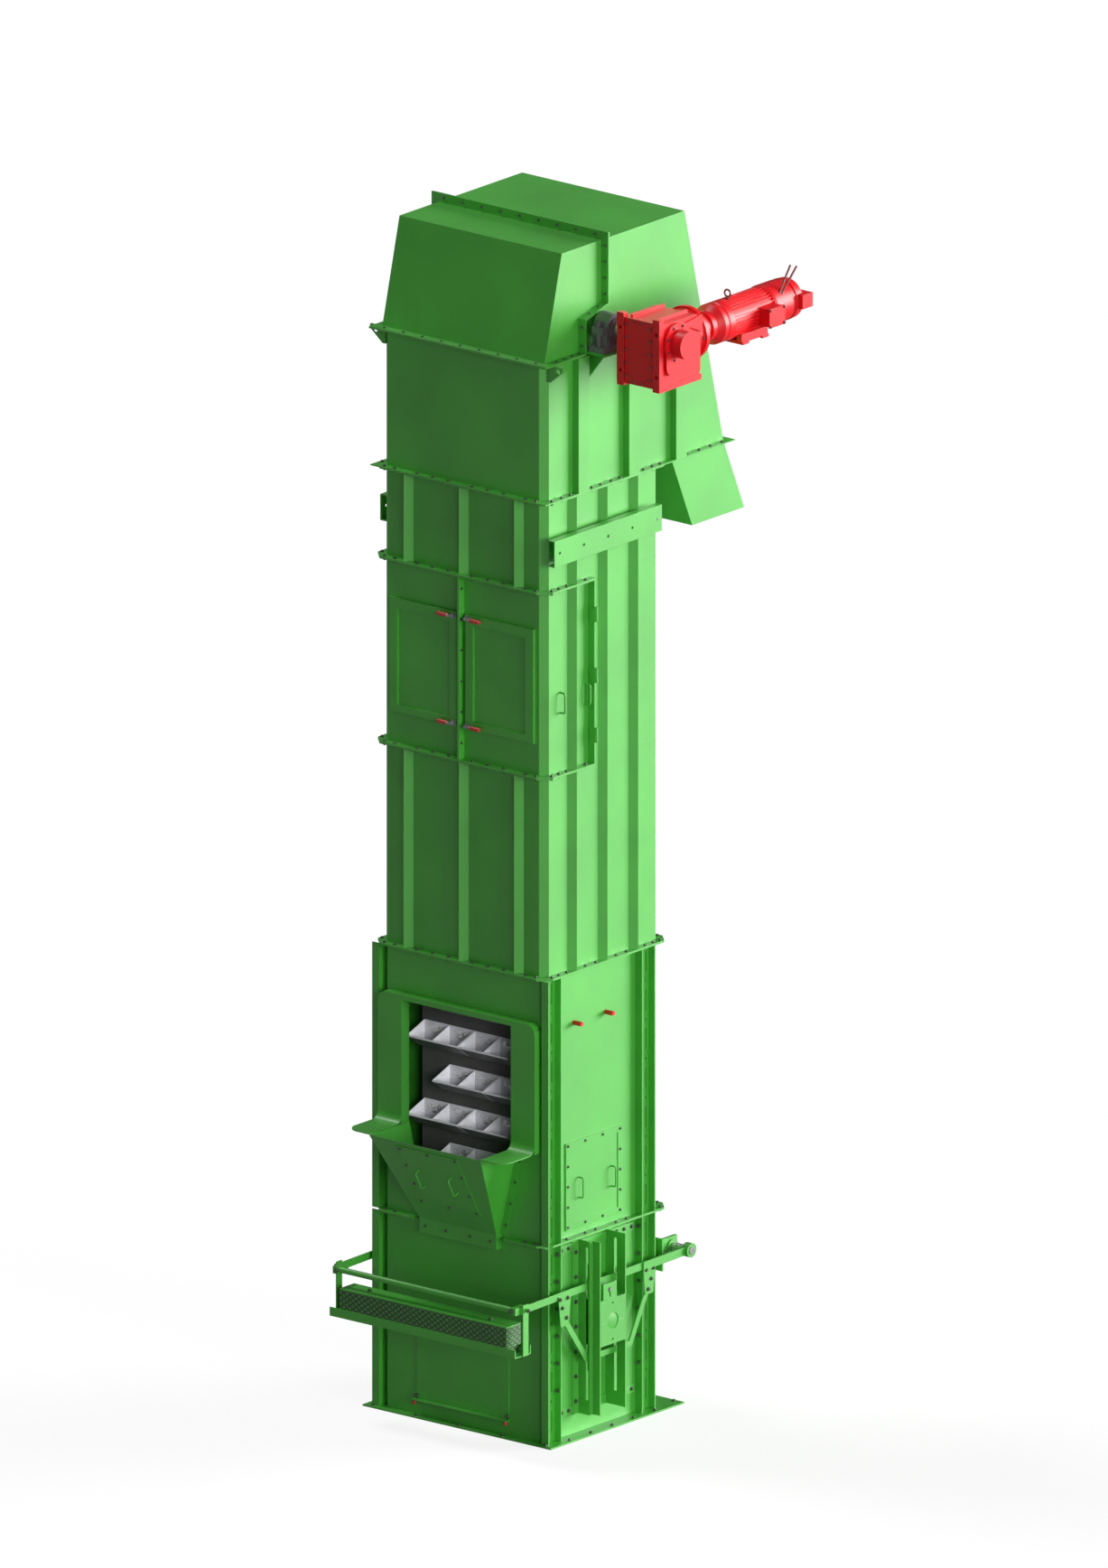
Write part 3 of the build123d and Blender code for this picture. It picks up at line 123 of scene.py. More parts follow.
# %% [markdown]
# ## 4. Helpers for node trees
# Colours are given as sRGB hex, as they are read from a picture, and turned to linear values here.
# One function adds a node, sets its values and joins its inputs.
# %%
def linear(hex_colour):
    values = [int(hex_colour[i:i + 2], 16) / 255 for i in (1, 3, 5)]
    return [v / 12.92 if v <= 0.04045 else ((v + 0.055) / 1.055) ** 2.4 for v in values] + [1.0]
def shaded(hex_colour, factor):
    return [min(1.0, c * factor) for c in linear(hex_colour)[:3]] + [1.0]
def add_node(tree, kind, inputs=None, **settings):
    node = tree.nodes.new("ShaderNode" + kind)
    for key, value in settings.items():
        setattr(node, key, value)
    for key, value in (inputs or {}).items():
        if isinstance(value, bpy.types.NodeSocket):
            tree.links.new(value, node.inputs[key])
        else:
            node.inputs[key].default_value = value
    return node
def new_material(name):
    material = bpy.data.materials.new(name)
    material.use_nodes = True
    material.node_tree.nodes.clear()
    return material, material.node_tree
print("green paint, linear:", [round(v, 3) for v in linear("#45b531")])
# %% [markdown]
# These short functions stand for the nodes that come again and again. Every pattern lies on the piece's
# own coordinates, which are metres, so a size in millimetres gives the scale.
# %%
def object_place(tree):
    return add_node(tree, "TexCoord").outputs["Object"]
def split_vector(tree, vector):
    return add_node(tree, "SeparateXYZ", {"Vector": vector}).outputs
def split_normal(tree):
    return split_vector(tree, add_node(tree, "NewGeometry").outputs["Normal"])
def noise(tree, size_mm, detail=4.0, roughness=0.5):
    return add_node(tree, "TexNoise", {"Vector": object_place(tree), "Scale": 1000 / size_mm,
                                       "Detail": detail, "Roughness": roughness}).outputs["Fac"]
def ramp(tree, value, low, high, to_low, to_high):
    return add_node(tree, "MapRange", {"Value": value, "From Min": low, "From Max": high,
                                       "To Min": to_low, "To Max": to_high}).outputs["Result"]
def mix(tree, factor, first, second):
    return add_node(tree, "Mix", {0: factor, 6: first, 7: second}, data_type="RGBA").outputs[2]
def maths(tree, operation, *values):
    return add_node(tree, "Math", dict(enumerate(values)), operation=operation).outputs[0]
def bump(tree, height, strength, depth):
    inputs = {"Height": height, "Strength": strength, "Distance": depth}
    return add_node(tree, "Bump", inputs).outputs["Normal"]
def soft_edge(tree, radius, normal):
    inputs = {"Radius": radius, "Normal": normal}
    return add_node(tree, "Bevel", inputs, samples=4).outputs["Normal"]
def shade(tree, **inputs):
    named = {key.replace("_", " "): value for key, value in inputs.items()}
    shader = add_node(tree, "BsdfPrincipled", named)
    add_node(tree, "OutputMaterial", {"Surface": shader.outputs["BSDF"]})
print("node helpers ready")
# %% [markdown]
# ## 5. Paint
# Machine paint is a smooth coat with a faint orange-peel texture of about 3 mm, a slow change of tone over
# half a metre, and a soft line of light where a sheet's edge is rounded by the coat. Dust makes it a little
# rougher in patches, and a few small chips show the primer.
# %%
paint_edge, peel_depth, lacquer_rough = 0.0025, 0.0004, 0.55
def paint(name, colour, primer, rough=0.42, peel=0.12, lacquer=0.8):
    material, tree = new_material(name)
    tone = ramp(tree, noise(tree, 600, 3), 0.3, 0.7, 0.0, 1.0)
    body = mix(tree, tone, shaded(colour, 0.90), shaded(colour, 1.10))
    chips = ramp(tree, noise(tree, 14, 8, 0.75), 0.74, 0.78, 0.0, 0.8)
    coat = mix(tree, chips, body, linear(primer))
    dust = ramp(tree, noise(tree, 240, 6, 0.65), 0.35, 0.75, rough - 0.01, rough + 0.04)
    grain = bump(tree, noise(tree, 3.0, 2), peel, peel_depth)
    shade(tree, Base_Color=coat, Roughness=dust, Specular_IOR_Level=0.1 + lacquer,
          Coat_Weight=lacquer, Coat_Roughness=lacquer_rough, Normal=soft_edge(tree, paint_edge, grain))
    return material
green = paint("green_machine_paint", "#45b531", "#3a7a34")
red = paint("red_drive_paint", "#ea0014", "#7c1616", rough=0.38, lacquer=0.4)
iron = paint("grey_cast_iron_paint", "#6d6973", "#3c3c3c", rough=0.5, peel=0.35)
print("paints:", green.name, red.name, iron.name)
# %% [markdown]
# ## 6. Bare steel and belt rubber
# Rolled steel has fine streaks about 1 mm apart along the rolling direction and dull patches. The buckets
# are galvanised; painted shade makes faces that look forward or back grey, and faces that look down dark.
# %%
streak_scale, steel_edge, streak_depth = (40.0, 40.0, 1200.0), 0.002, 0.0003
def paint_shade_by_facing(tree, tone):
    # Painted shade: faces that look forward or back are mixed toward grey, and faces that look down toward
    # near black.
    normal = split_normal(tree)
    worn = ramp(tree, maths(tree, "ABSOLUTE", normal["Y"]), 0.5, 0.9, 0.0, 0.45)
    tone = mix(tree, worn, tone, linear("#55555a"))
    return mix(tree, ramp(tree, normal["Z"], -0.55, -0.2, 0.92, 0.0), tone, linear("#242426"))
def steel(name, colour, rough=0.36, metallic=0.75, with_painted_shade=False):
    material, tree = new_material(name)
    place = object_place(tree)
    flat = add_node(tree, "Mapping", {"Vector": place, "Scale": streak_scale}).outputs["Vector"]
    streaks = add_node(tree, "TexNoise", {"Vector": flat, "Scale": 1.0, "Detail": 3.0}).outputs["Fac"]
    patches = ramp(tree, noise(tree, 180, 6, 0.6), 0.35, 0.7, 0.0, 1.0)
    tone = mix(tree, patches, linear(colour), shaded(colour, 0.72))
    # The buckets get painted shade here: darker on faces that look forward, back or down.
    if with_painted_shade:
        tone = paint_shade_by_facing(tree, tone)
    dull = ramp(tree, streaks, 0.3, 0.7, rough - 0.06, rough + 0.1)
    grain = bump(tree, streaks, 0.1, streak_depth)
    shade(tree, Base_Color=tone, Roughness=dull, Metallic=metallic,
          Normal=soft_edge(tree, steel_edge, grain))
    return material
bare = steel("rolled_steel", "#b9bbb8")
bright = steel("turned_steel", "#cfd1cf", 0.25)
galvanised = steel("galvanised_bucket_steel", "#e6e6ec", 0.5, 0.05, with_painted_shade=True)
print("steels:", bare.name, bright.name, galvanised.name)
# %% [markdown]
# The belt is black rubber with a woven ply that shows faintly through its cover at a pitch of 8 mm.
# %%
weave_scale, weave_depth = 40.0, 0.0004
def rubber(name, colour, worn_colour):
    material, tree = new_material(name)
    inputs = {"Vector": object_place(tree), "Scale": weave_scale, "Distortion": 0.4}
    weave = add_node(tree, "TexWave", inputs, bands_direction="Z")
    worn = ramp(tree, noise(tree, 90, 5), 0.3, 0.7, 0, 1)
    tone = mix(tree, worn, linear(colour), linear(worn_colour))
    grain = bump(tree, weave.outputs["Fac"], 0.15, weave_depth)
    shade(tree, Base_Color=tone, Roughness=0.62, Normal=grain)
    return material
belt_rubber = rubber("belt_rubber", "#343334", "#3a3b3a")
print("rubber:", belt_rubber.name)
# %% [markdown]
# The weights are hatched in the picture. Two waves that cross each other draw that lattice in dark paint,
# with a line every 56 mm, and only on the upright faces.
# %%
line_pitch, line_slope = 0.056, 1.35
def hatched(material, dark):
    tree = material.node_tree
    shader = next(n for n in tree.nodes if n.type == "BSDF_PRINCIPLED")
    plain = shader.inputs["Base Color"].links[0].from_socket
    place = split_vector(tree, object_place(tree))
    width = maths(tree, "ADD", place["X"], place["Y"])
    waves = []
    for sign in (1, -1):
        turned = maths(tree, "MULTIPLY", place["Z"], sign * line_slope)
        line = maths(tree, "ADD", width, turned)
        phase = maths(tree, "MULTIPLY", line, 2 * pi / line_pitch)
        waves.append(maths(tree, "SINE", phase))
    lattice = maths(tree, "MAXIMUM", *waves)
    upright = ramp(tree, split_normal(tree)["Z"], 0.3, 0.6, 1.0, 0.0)
    lines = ramp(tree, lattice, 0.35, 0.75, 0.0, 1.0)
    factor = maths(tree, "MULTIPLY", lines, upright)
    tree.links.new(mix(tree, factor, plain, linear(dark)), shader.inputs["Base Color"])
    return material
weight_paint = hatched(paint("hatched_weight_paint", "#3c9a2b", "#1c3a18"), "#0d1a0c")
print("hatched paint:", weight_paint.name)
# %% [markdown]
# ## 7. Materials on the CAD pieces
# Every CAD piece is green unless it is named here.
# %%
not_green = {red: ("gearbox", "drive_motor", "coupling_lantern", "level_sensors"),
             iron: ("head_bearings", "head_pulley", "tail_pulley"),
             bare: ("door_clamps",),
             bright: ("head_shaft", "tail_shaft", "takeup_pivot_shaft"),
             galvanised: ("bucket_row_a", "bucket_row_b"),
             belt_rubber: ("belt",),
             weight_paint: ("weights",)}
special = {name: material for material, names in not_green.items() for name in names}
for name in frame["nodes"]:
    piece = node_object(name)
    piece.data.materials.clear()
    piece.data.materials.append(special.get(name, green))
print("pieces with a material:", len(frame["nodes"]), "not green:", len(special))
# %% [markdown]
# ## 8. How the small parts are made
# Each small part is made with Blender's own tools, in millimetres. Here are the tools: a round rod between
# two points, a block between two corners, a rounded edge, and a boolean cut.
# %%
def deselect():
    bpy.ops.object.select_all(action="DESELECT")
def pick(piece):
    deselect()
    piece.select_set(True)
    bpy.context.view_layer.objects.active = piece
def apply_transform():
    bpy.ops.object.transform_apply(location=True, rotation=True, scale=True)
def rod(radius, start, end, sides=24):
    deselect()
    a, b = Vector(start), Vector(end)
    turned = (b - a).to_track_quat("Z", "Y").to_euler()
    bpy.ops.mesh.primitive_cylinder_add(vertices=sides, radius=radius, depth=(b - a).length,
                                        location=(a + b) / 2, rotation=turned)
    return bpy.context.object
def rounded(piece, width, segments=2):
    edge = piece.modifiers.new("edge", "BEVEL")
    edge.width, edge.segments = width, segments
    edge.limit_method, edge.angle_limit = "ANGLE", radians(40)
    pick(piece)
    bpy.ops.object.modifier_apply(modifier="edge")
    return piece
def block(low, high, width=2.0):
    deselect()
    a, b = Vector(low), Vector(high)
    bpy.ops.mesh.primitive_cube_add(size=1, location=(a + b) / 2, scale=b - a)
    bpy.ops.object.transform_apply(location=False, rotation=False, scale=True)
    return rounded(bpy.context.object, width)
def cut_away(piece, cutter):
    change = piece.modifiers.new("cut", "BOOLEAN")
    change.object, change.operation, change.solver = cutter, "DIFFERENCE", "EXACT"
    pick(piece)
    bpy.ops.object.modifier_apply(modifier="cut")
    bpy.data.objects.remove(cutter)
    return piece
print("shaping tools ready")
# %% [markdown]
# Parts that belong together are joined to one piece. A finished piece is scaled from millimetres to metres,
# gets its material, and rides on a body, so that it moves with that body in a pose.
# %%
mm = 0.001
def joined(pieces, name):
    deselect()
    for piece in pieces:
        piece.select_set(True)
    bpy.context.view_layer.objects.active = pieces[0]
    if len(pieces) > 1:
        bpy.ops.object.join()
    whole = bpy.context.view_layer.objects.active
    apply_transform()
    whole.name = whole.data.name = name
    return whole
def finish(piece, material, body="plant"):
    pick(piece)
    bpy.ops.transform.resize(value=(mm, mm, mm), center_override=(0, 0, 0))
    apply_transform()
    bpy.ops.object.shade_smooth_by_angle(angle=radians(35))
    piece.data.materials.clear()
    piece.data.materials.append(material)
    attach(piece, body)
    return piece
# %% [markdown]
# A bolt is made once at the origin and stands on its washer. Copies with their own mesh are set in place,
# each along the direction that it is given, and joined, so that a whole row of bolts is one object.
# %%
UP, DOWN = (0, 0, 1), (0, 0, -1)
FRONT, BACK = (0, -1, 0), (0, 1, 0)
RIGHT = (1, 0, 0)
SIDES = (-1, 1)
bolt_steel = steel("zinc_plated_steel", "#6f7a6c", 0.4)
def bolt(radius):
    washer = rod(radius * 1.25, (0, 0, 0), (0, 0, radius * 0.2), 20)
    head = rounded(rod(radius, (0, 0, radius * 0.2), (0, 0, radius * 0.95), 6), radius * 0.08, 1)
    stud = rod(radius * 0.5, (0, 0, radius * 0.9), (0, 0, radius * 1.25), 10)
    return joined([washer, head, stud], "bolt")
def place_copies(source, name, spots):
    copies = []
    for at, axis in spots:
        copy = source.copy()
        copy.data = source.data.copy()
        bpy.context.scene.collection.objects.link(copy)
        turned = Vector(axis).to_track_quat("Z", "Y").to_matrix().to_4x4()
        copy.matrix_world = Matrix.Translation(at) @ turned
        copies.append(copy)
    bpy.data.objects.remove(source)
    return joined(copies, name)
def bolts(name, radius, spots, body="plant", material=bolt_steel):
    finish(place_copies(bolt(radius), name, spots), material, body)
    print(name, len(spots))
print("bolt material:", bolt_steel.name)
# %% [markdown]
# ## 9. Bolts of the casing joints
# Every joint between two sections has a row of bolts all round, kept clear of the pressed ribs. Heads stand
# on the upper flange and nuts hang under the lower one. At the boot the hopper's foot interrupts the row,
# and the corner channels cover the flange at the corners. The two joints at the doors end at the hinges.
# %%
front_line, side_line, leaf = 684, 784, 8
boot_joint, inlet_joint, door_joints = 1480, 3470, (4970, 6350)
hopper_foot_half, hinge_y = 430, -200
across = [-700, -605, -400, -255, -110, 110, 255, 400, 605, 700]
along = [-610, -530, -440, -230, -115, 115, 230, 440, 530, 610]
def joint(z, front, rear, sides):
    spots = []
    for face, axis in ((z + leaf, UP), (z - leaf, DOWN)):
        spots += [((x, -front_line, face), axis) for x in front]
        spots += [((x, front_line, face), axis) for x in rear]
        spots += [((side * side_line, y, face), axis) for side in SIDES for y in sides]
    return spots
beside_hopper = [x for x in across if abs(x) > hopper_foot_half]
clear_of_channels = [y for y in along if y > -520 and not 355 < y < 535]
rows = joint(boot_joint, beside_hopper, across, clear_of_channels)
for z in door_joints:
    rows += joint(z, across, [], [y for y in along if y < hinge_y])
bolts("casing_joint_bolts", 11, rows)
# %% [markdown]
# The joint on top of the inlet section has bolt heads all round, and nuts in front and behind.
# %%
inlet_row = [((x, y, inlet_joint + leaf), UP) for y in (-front_line, front_line) for x in across]
inlet_row += [((side * side_line, y, inlet_joint + leaf), UP) for side in SIDES for y in along]
inlet_row += [((x, y, inlet_joint - leaf), DOWN) for y in (-front_line, front_line) for x in across]
bolts("inlet_joint_bolts", 11, inlet_row)
# %% [markdown]
# The head's foot plate is bolted to the shaft casing and carries the discharge spout behind it, so its row
# runs on round the spout. The stiffeners of the head stand on it, and the bolts keep clear of them.
# %%
head_foot, spout_rear = 7020, 1392
free = [-610, -500, -400, -160, -60, 60, 160, 420, 520, 610]
on_casing = ((head_foot + leaf, UP), (head_foot - leaf, DOWN))
on_spout = ((head_foot + leaf, UP), (head_foot, DOWN))
foot_row = [((x, -front_line, z), axis) for z, axis in on_casing for x in across]
foot_row += [((side * side_line, y, z), axis) for side in SIDES for y in free for z, axis in on_casing]
foot_row += [((side * (side_line - 2), y, z), axis) for side in SIDES
             for y in (920, 1050, 1180, 1310) for z, axis in on_spout]
foot_row += [((x, spout_rear, z), axis) for x in range(-700, 701, 200) for z, axis in on_spout]
bolts("head_foot_bolts", 11, foot_row)
# %% [markdown]
# ## 10. Bolts along the hood's seam
# The seam runs level round the front, steps up beside the shaft, slants back and goes over the top.
# %%
seam_x, seam_level, step_y, split_y = 786, 8050, -263, -5
step_low, step_high = 8305, 8370
seam_across = range(-700, 701, 175)
level_faces = ((seam_level + leaf, UP), (seam_level - leaf, DOWN))
step_faces = ((step_y - leaf, FRONT), (step_y + leaf, BACK))
split_faces = ((split_y - leaf, FRONT), (split_y + leaf, BACK))
seam = [((x, -front_line - 1, z), axis) for x in seam_across for z, axis in level_faces]
seam += [((side * seam_x, y, z), axis) for side in SIDES for y in (-560, -470, -380, -300)
         for z, axis in level_faces]
seam += [((side * seam_x, y, z), axis) for side in SIDES for z in (8110, 8250) for y, axis in step_faces]
seam += [((side * seam_x, y, z), axis) for side in SIDES for z in (8440, 8560, 8680, 8800)
         for y, axis in split_faces]
seam += [((x, y, 8872), axis) for x in seam_across for y, axis in split_faces]
run, rise = split_y - step_y, step_high - step_low
normal = Vector((0, -rise, run)).normalized()
for side in SIDES:
    for part in (0.3, 0.7):
        middle = Vector((side * seam_x, step_y + run * part, step_low + rise * part))
        seam += [(middle + normal * leaf, normal), (middle - normal * leaf, -normal)]
bolts("hood_seam_bolts", 9, seam)
# %% [markdown]
# ## 11. Bolts of the boot
# The corner channels' inner legs carry six bolts each at a pitch of 203 mm, and the guides' legs seven each
# at a pitch of 185 mm. The plate under the boot is held down by anchors.
# %%
channel_x, guide_x, panel_x = 785, 768, 766
channel_levels = [386 + 203 * k for k in range(6)]
guide_levels = [253 + 185 * k for k in range(7)]
boot = [((side * channel_x, y, z), FRONT) for side in SIDES for y in (-544, 370) for z in channel_levels]
boot += [((side * channel_x, y, z), BACK) for side in SIDES for y in (-536, 518) for z in channel_levels]
boot += [((side * guide_x, y, z), (side, 0, 0)) for side in SIDES for y in (-322, 62) for z in guide_levels]
boot += [((side * panel_x, y, z), (side, 0, 0)) for side in SIDES for y in (-480, -400, 140, 225, 310)
         for z in (200, 1410)]
bolts("boot_bolts", 13, boot)
base_top = 12
anchors = [((x, y, base_top), UP) for y in (-698, 750) for x in range(-800, 801, 400)]
anchors += [((side * 842, y, base_top), UP) for side in SIDES for y in range(-480, 481, 240)]
bolts("anchor_bolts", 12, anchors)
# %% [markdown]
# ## 12. Bolts of the covers, the hopper and the doors
# The access panel is held by four bolts above and below and by three more at each side. Four bolts hold the
# hopper's foot, and four on each side run up along its slanting flanges.
# %%
panel_face, foot_face, flange_face = 761, -710, -656
panel = [((panel_face, y, z), RIGHT) for y in (-398, -203, -7, 188) for z in (1562, 2168)]
panel += [((panel_face, y, z), RIGHT) for y in (-398, 188) for z in (1713, 1865, 2016)]
hopper = [((x, foot_face, 1445), FRONT) for x in (-300, -110, 110, 300)]
hopper += [((side * (382 + 165 * part), flange_face, 1510 + 640 * part), FRONT)
           for side in SIDES for part in (0.1, 0.36, 0.62, 0.88)]
bolts("cover_bolts", 9, panel + hopper)
# %% [markdown]
# The hopper's square cover lies on the raking front plate, so its ten bolts stand square to that plate.
# %%
rake = Vector((0, 374, -671.5)).normalized()
rake_normal = Vector((1, 0, 0)).cross(rake) * -1
rake_top, plate_length, cover_thick, cover_half = Vector((0, -1084, 2171.5)), 768.6, 6, 255
rake_middle = rake_top + rake * (0.42 * plate_length) + rake_normal * cover_thick
rim = [(x, s) for x in (-cover_half, 0, cover_half) for s in (-cover_half, cover_half)]
rim += [(x, s) for x in (-cover_half, cover_half) for s in (-95, 85)]
bolts("hopper_cover_bolts", 9, [(rake_middle + Vector((x, 0, 0)) + rake * s, rake_normal) for x, s in rim])
door = [((side * 9.5, -front_line, z), (side, 0, 0)) for side in SIDES for z in range(5100, 6251, 230)]
bolts("door_flange_bolts", 9, door)
print("raking plate's normal", [round(v, 3) for v in rake_normal])
# %% [markdown]
# ## 13. Bolts and pins of the weighted lever
# Each gusset of the lever has four bolts, as measured in the picture. Two bolts hold the weights, a pin
# sits at the head of each hanger, and a bolt closes each clamp of the cross tube.
# %%
gusset_x = 864
front_gusset = ((-614, 1093), (-527, 1091), (-587, 1027), (-540, 945))
rear_gusset = ((355, 1094), (436, 1092), (412, 1017), (378, 945))
lever = [((side * gusset_x, y, z), (side, 0, 0)) for side in SIDES for y, z in front_gusset + rear_gusset]
weight_bolts = [((side * 560, -1022, 983), UP) for side in SIDES]
hanger_pins = [((side * 888, -1000, 1106), (side, 0, 0)) for side in SIDES]
clamp_bolts = [((side * 806, -1092, 1105), FRONT) for side in SIDES]
bolts("lever_bolts", 13, lever + weight_bolts + hanger_pins + clamp_bolts, "takeup_lever")
# %% [markdown]
# ## 14. The drive's small parts
# The gearbox's cover plate has fourteen bolts, its output flange eight, its bell housing five and the
# motor's terminal box four.
# %%
shaft_y, shaft_z = -110, 8240
cover_y, output_x, box_x = -299, 1546, 1571
motor_x, bell_y, bell_z = 1333, 215, 8198
drive = [((x, cover_y, z), FRONT) for x in (1222, 1445) for z in (7985, 8080, 8175, 8270, 8365)]
drive += [((x, cover_y, z), FRONT) for x in (1296, 1371) for z in (7948, 8398)]
eighths = [pi / 8 + k * pi / 4 for k in range(8)]
drive += [((output_x, shaft_y + 128 * cos(a), shaft_z + 128 * sin(a)), RIGHT) for a in eighths]
drive += [((box_x, y, z), RIGHT) for y in (897, 1048) for z in (8132, 8250)]
bell = ((178, 0), (126, 126), (0, 178), (-126, 126), (126, -126))
drive += [((motor_x + x, bell_y, bell_z + z), FRONT) for x, z in bell]
red_bolt = paint("red_bolt_paint", "#8c0811", "#4a1010", rough=0.38)
bolts("drive_bolts", 11, drive, material=red_bolt)
# %% [markdown]
# The motor also carries an eye bolt, made of a ring, a shank and a collar, and two brake release rods.
# %%
eye_y = 700
deselect()
bpy.ops.mesh.primitive_torus_add(major_radius=26, minor_radius=7, major_segments=32, minor_segments=12,
                                 location=(motor_x, eye_y, 8385), rotation=(pi / 2, 0, 0))
ring = bpy.context.object
shank = rod(9, (motor_x, eye_y, 8335), (motor_x, eye_y, 8362))
collar = rod(17, (motor_x, eye_y, 8340), (motor_x, eye_y, 8352))
finish(joined([ring, shank, collar], "motor_eye_bolt"), red_bolt)
rods = [rod(8, (1433, 1160, 8300), (1433, 1287, 8477), 12),
        rod(8, (1453, 1165, 8296), (1488, 1290, 8480), 12),
        rod(12, (1443, 1150, 8290), (1443, 1165, 8318), 16)]
brake = finish(joined(rods, "brake_release_rods"), red_bolt)
print("faces of the brake rods:", len(brake.data.polygons))
# %% [markdown]
# ## 15. Bearings
# The head bearings are bolted to their shelves. A round painted cover closes each bearing of the boot, and
# a screw holds the plate above it.
# %%
bearing_x, tail_z, plate_y, plate_z = 905, 837, -142, 1077
bearing = [((side * bearing_x, shaft_y + y, 8120), UP) for side in SIDES for y in (-124, 124)]
bearing += [((side * bearing_x, shaft_y + y, 8302), UP) for side in SIDES for y in (-116, 116)]
bolts("bearing_bolts", 15, bearing)
block_low, block_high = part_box("tail_bearing_blocks")
print("bearing blocks:", [round(v, 4) for v in block_low], [round(v, 4) for v in block_high])
discs, screws = [], []
for side in SIDES:
    discs.append(rounded(rod(75, (side * 900, shaft_y, tail_z), (side * 935, shaft_y, tail_z), 64), 4))
finish(joined(discs, "shaft_covers"), green)
for side in SIDES:
    screws.append(rod(13, (side * 925, plate_y, plate_z), (side * 944, plate_y, plate_z), 20))
    screws.append(rounded(rod(18, (side * 939, plate_y, plate_z), (side * 948, plate_y, plate_z), 6), 1.5, 1))
finish(joined(screws, "shaft_ends"), bright)
# %% [markdown]
# ## 16. Red grips
# The toggle clamps of the inspection doors have red sleeves, and so have the screws of the clean-out bar.
# %%
grip_red = paint("moulded_red_grip", "#d21a12", "#a01510", rough=0.5, peel=0.2)
clamp_y, bar_x = -706, 420
grips = []
for side in SIDES:
    for z in (5234, 6036):
        grips.append(rounded(rod(15, (side * 108, clamp_y, z), (side * 196, clamp_y, z), 24), 5, 3))
    grips.append(rounded(rod(13, (side * bar_x, -690, 92), (side * bar_x, -690, 126), 20), 3, 2))
finish(joined(grips, "red_grips"), grip_red)
bolts("clean_out_screws", 14, [((side * bar_x, -664, 152), FRONT) for side in SIDES])
# %% [markdown]
# ## 17. Bolts inside the buckets
# The places of the buckets follow the belt's path: up the feed side, over the head pulley, down the return
# side and round the tail pulley.
# %%
belt_radius, centre_gap = 252.3, float(shaft_z - tail_z)
half_turn = pi * belt_radius
loop = 2 * centre_gap + 2 * half_turn
row_pitch, row_phase = 290.0, 0.306
row_count = 2 * round(loop / row_pitch / 2)
def place_on_belt(s):
    s %= loop
    if s < centre_gap:
        return Matrix.Translation((0, shaft_y - belt_radius, tail_z + s))
    if s < centre_gap + half_turn:
        a = (s - centre_gap) / belt_radius
        at = (0, shaft_y - belt_radius * cos(a), shaft_z + belt_radius * sin(a))
        return Matrix.Translation(at) @ Matrix.Rotation(-a, 4, "X")
    if s < 2 * centre_gap + half_turn:
        at = (0, shaft_y + belt_radius, shaft_z - (s - centre_gap - half_turn))
        return Matrix.Translation(at) @ Matrix.Rotation(pi, 4, "X")
    a = (s - 2 * centre_gap - half_turn) / belt_radius
    at = (0, shaft_y + belt_radius * cos(a), tail_z - belt_radius * sin(a))
    return Matrix.Translation(at) @ Matrix.Rotation(pi - a, 4, "X")
print("rows of buckets:", row_count, "on", round(loop), "mm of belt")
# %% [markdown]
# Each bucket hangs on the belt by two groups of four bolts, one group in each of its cells. A bolt has a
# large washer and a flat six-sided head. Every second row is shifted by half a bucket.
# %%
first_x, bucket_pitch, shift, half_cell = -362.5, 470, 235.0, 115
group = ((-62, 122), (-20, 98), (24, 122), (66, 98))
washer = rod(23, (0, 0, 0), (0, 0, 2.5), 18)
bucket_bolt = joined([washer, rounded(rod(14, (0, 0, 2), (0, 0, 9), 6), 1.5, 1)], "bolt")
spots = []
for row in range(row_count):
    place = place_on_belt((row + row_phase) * loop / row_count)
    row_x = first_x + (row % 2) * shift
    for x in (row_x, row_x + bucket_pitch):
        for cell in (-half_cell, half_cell):
            for dx, dz in group:
                at = place @ Vector((x + cell + dx, -5, dz))
                spots.append((at, place.to_3x3() @ Vector(FRONT)))
lit_by_inlet_light.objects.link(finish(place_copies(bucket_bolt, "bucket_bolts", spots), bright))
print("bucket bolts:", len(spots))
# %% [markdown]
# ## 18. Lifting lugs
# Under the hood's seam a three-cornered plate stands on each side, with a hole for a shackle. A block is
# cut to its slope with bisect, and a boolean bores the hole. The second lug is the mirror image of the
# first, so its normals are made consistent again. Both stand for the square lugs of the CAD model.
# %%
lug_low, lug_high = (749, -616, 7915), (890, -600, 8041)
slope_start, slope_normal = (775, -608, 7915), Vector((95, 0, -115)).normalized()
def edit_all():
    bpy.ops.object.mode_set(mode="EDIT")
    bpy.ops.mesh.select_all(action="SELECT")
def made_consistent(piece):
    pick(piece)
    edit_all()
    bpy.ops.mesh.normals_make_consistent(inside=False)
    bpy.ops.object.mode_set(mode="OBJECT")
    return piece
def lifting_lug(side):
    lug = block(lug_low, lug_high, 1)
    apply_transform()
    edit_all()
    bpy.ops.mesh.bisect(plane_co=slope_start, plane_no=slope_normal, clear_outer=True, use_fill=True)
    bpy.ops.object.mode_set(mode="OBJECT")
    cut_away(lug, rod(22, (845, -640, 8005), (845, -580, 8005), 32))
    if side < 0:
        lug.scale = (-1, 1, 1)
        bpy.ops.object.transform_apply(location=True, rotation=False, scale=True)
        made_consistent(lug)
    return lug
lugs = finish(joined([lifting_lug(side) for side in SIDES], "three_cornered_lugs"), green)
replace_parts(lugs, "lifting_lugs")
print("faces of the lugs:", len(lugs.data.polygons))
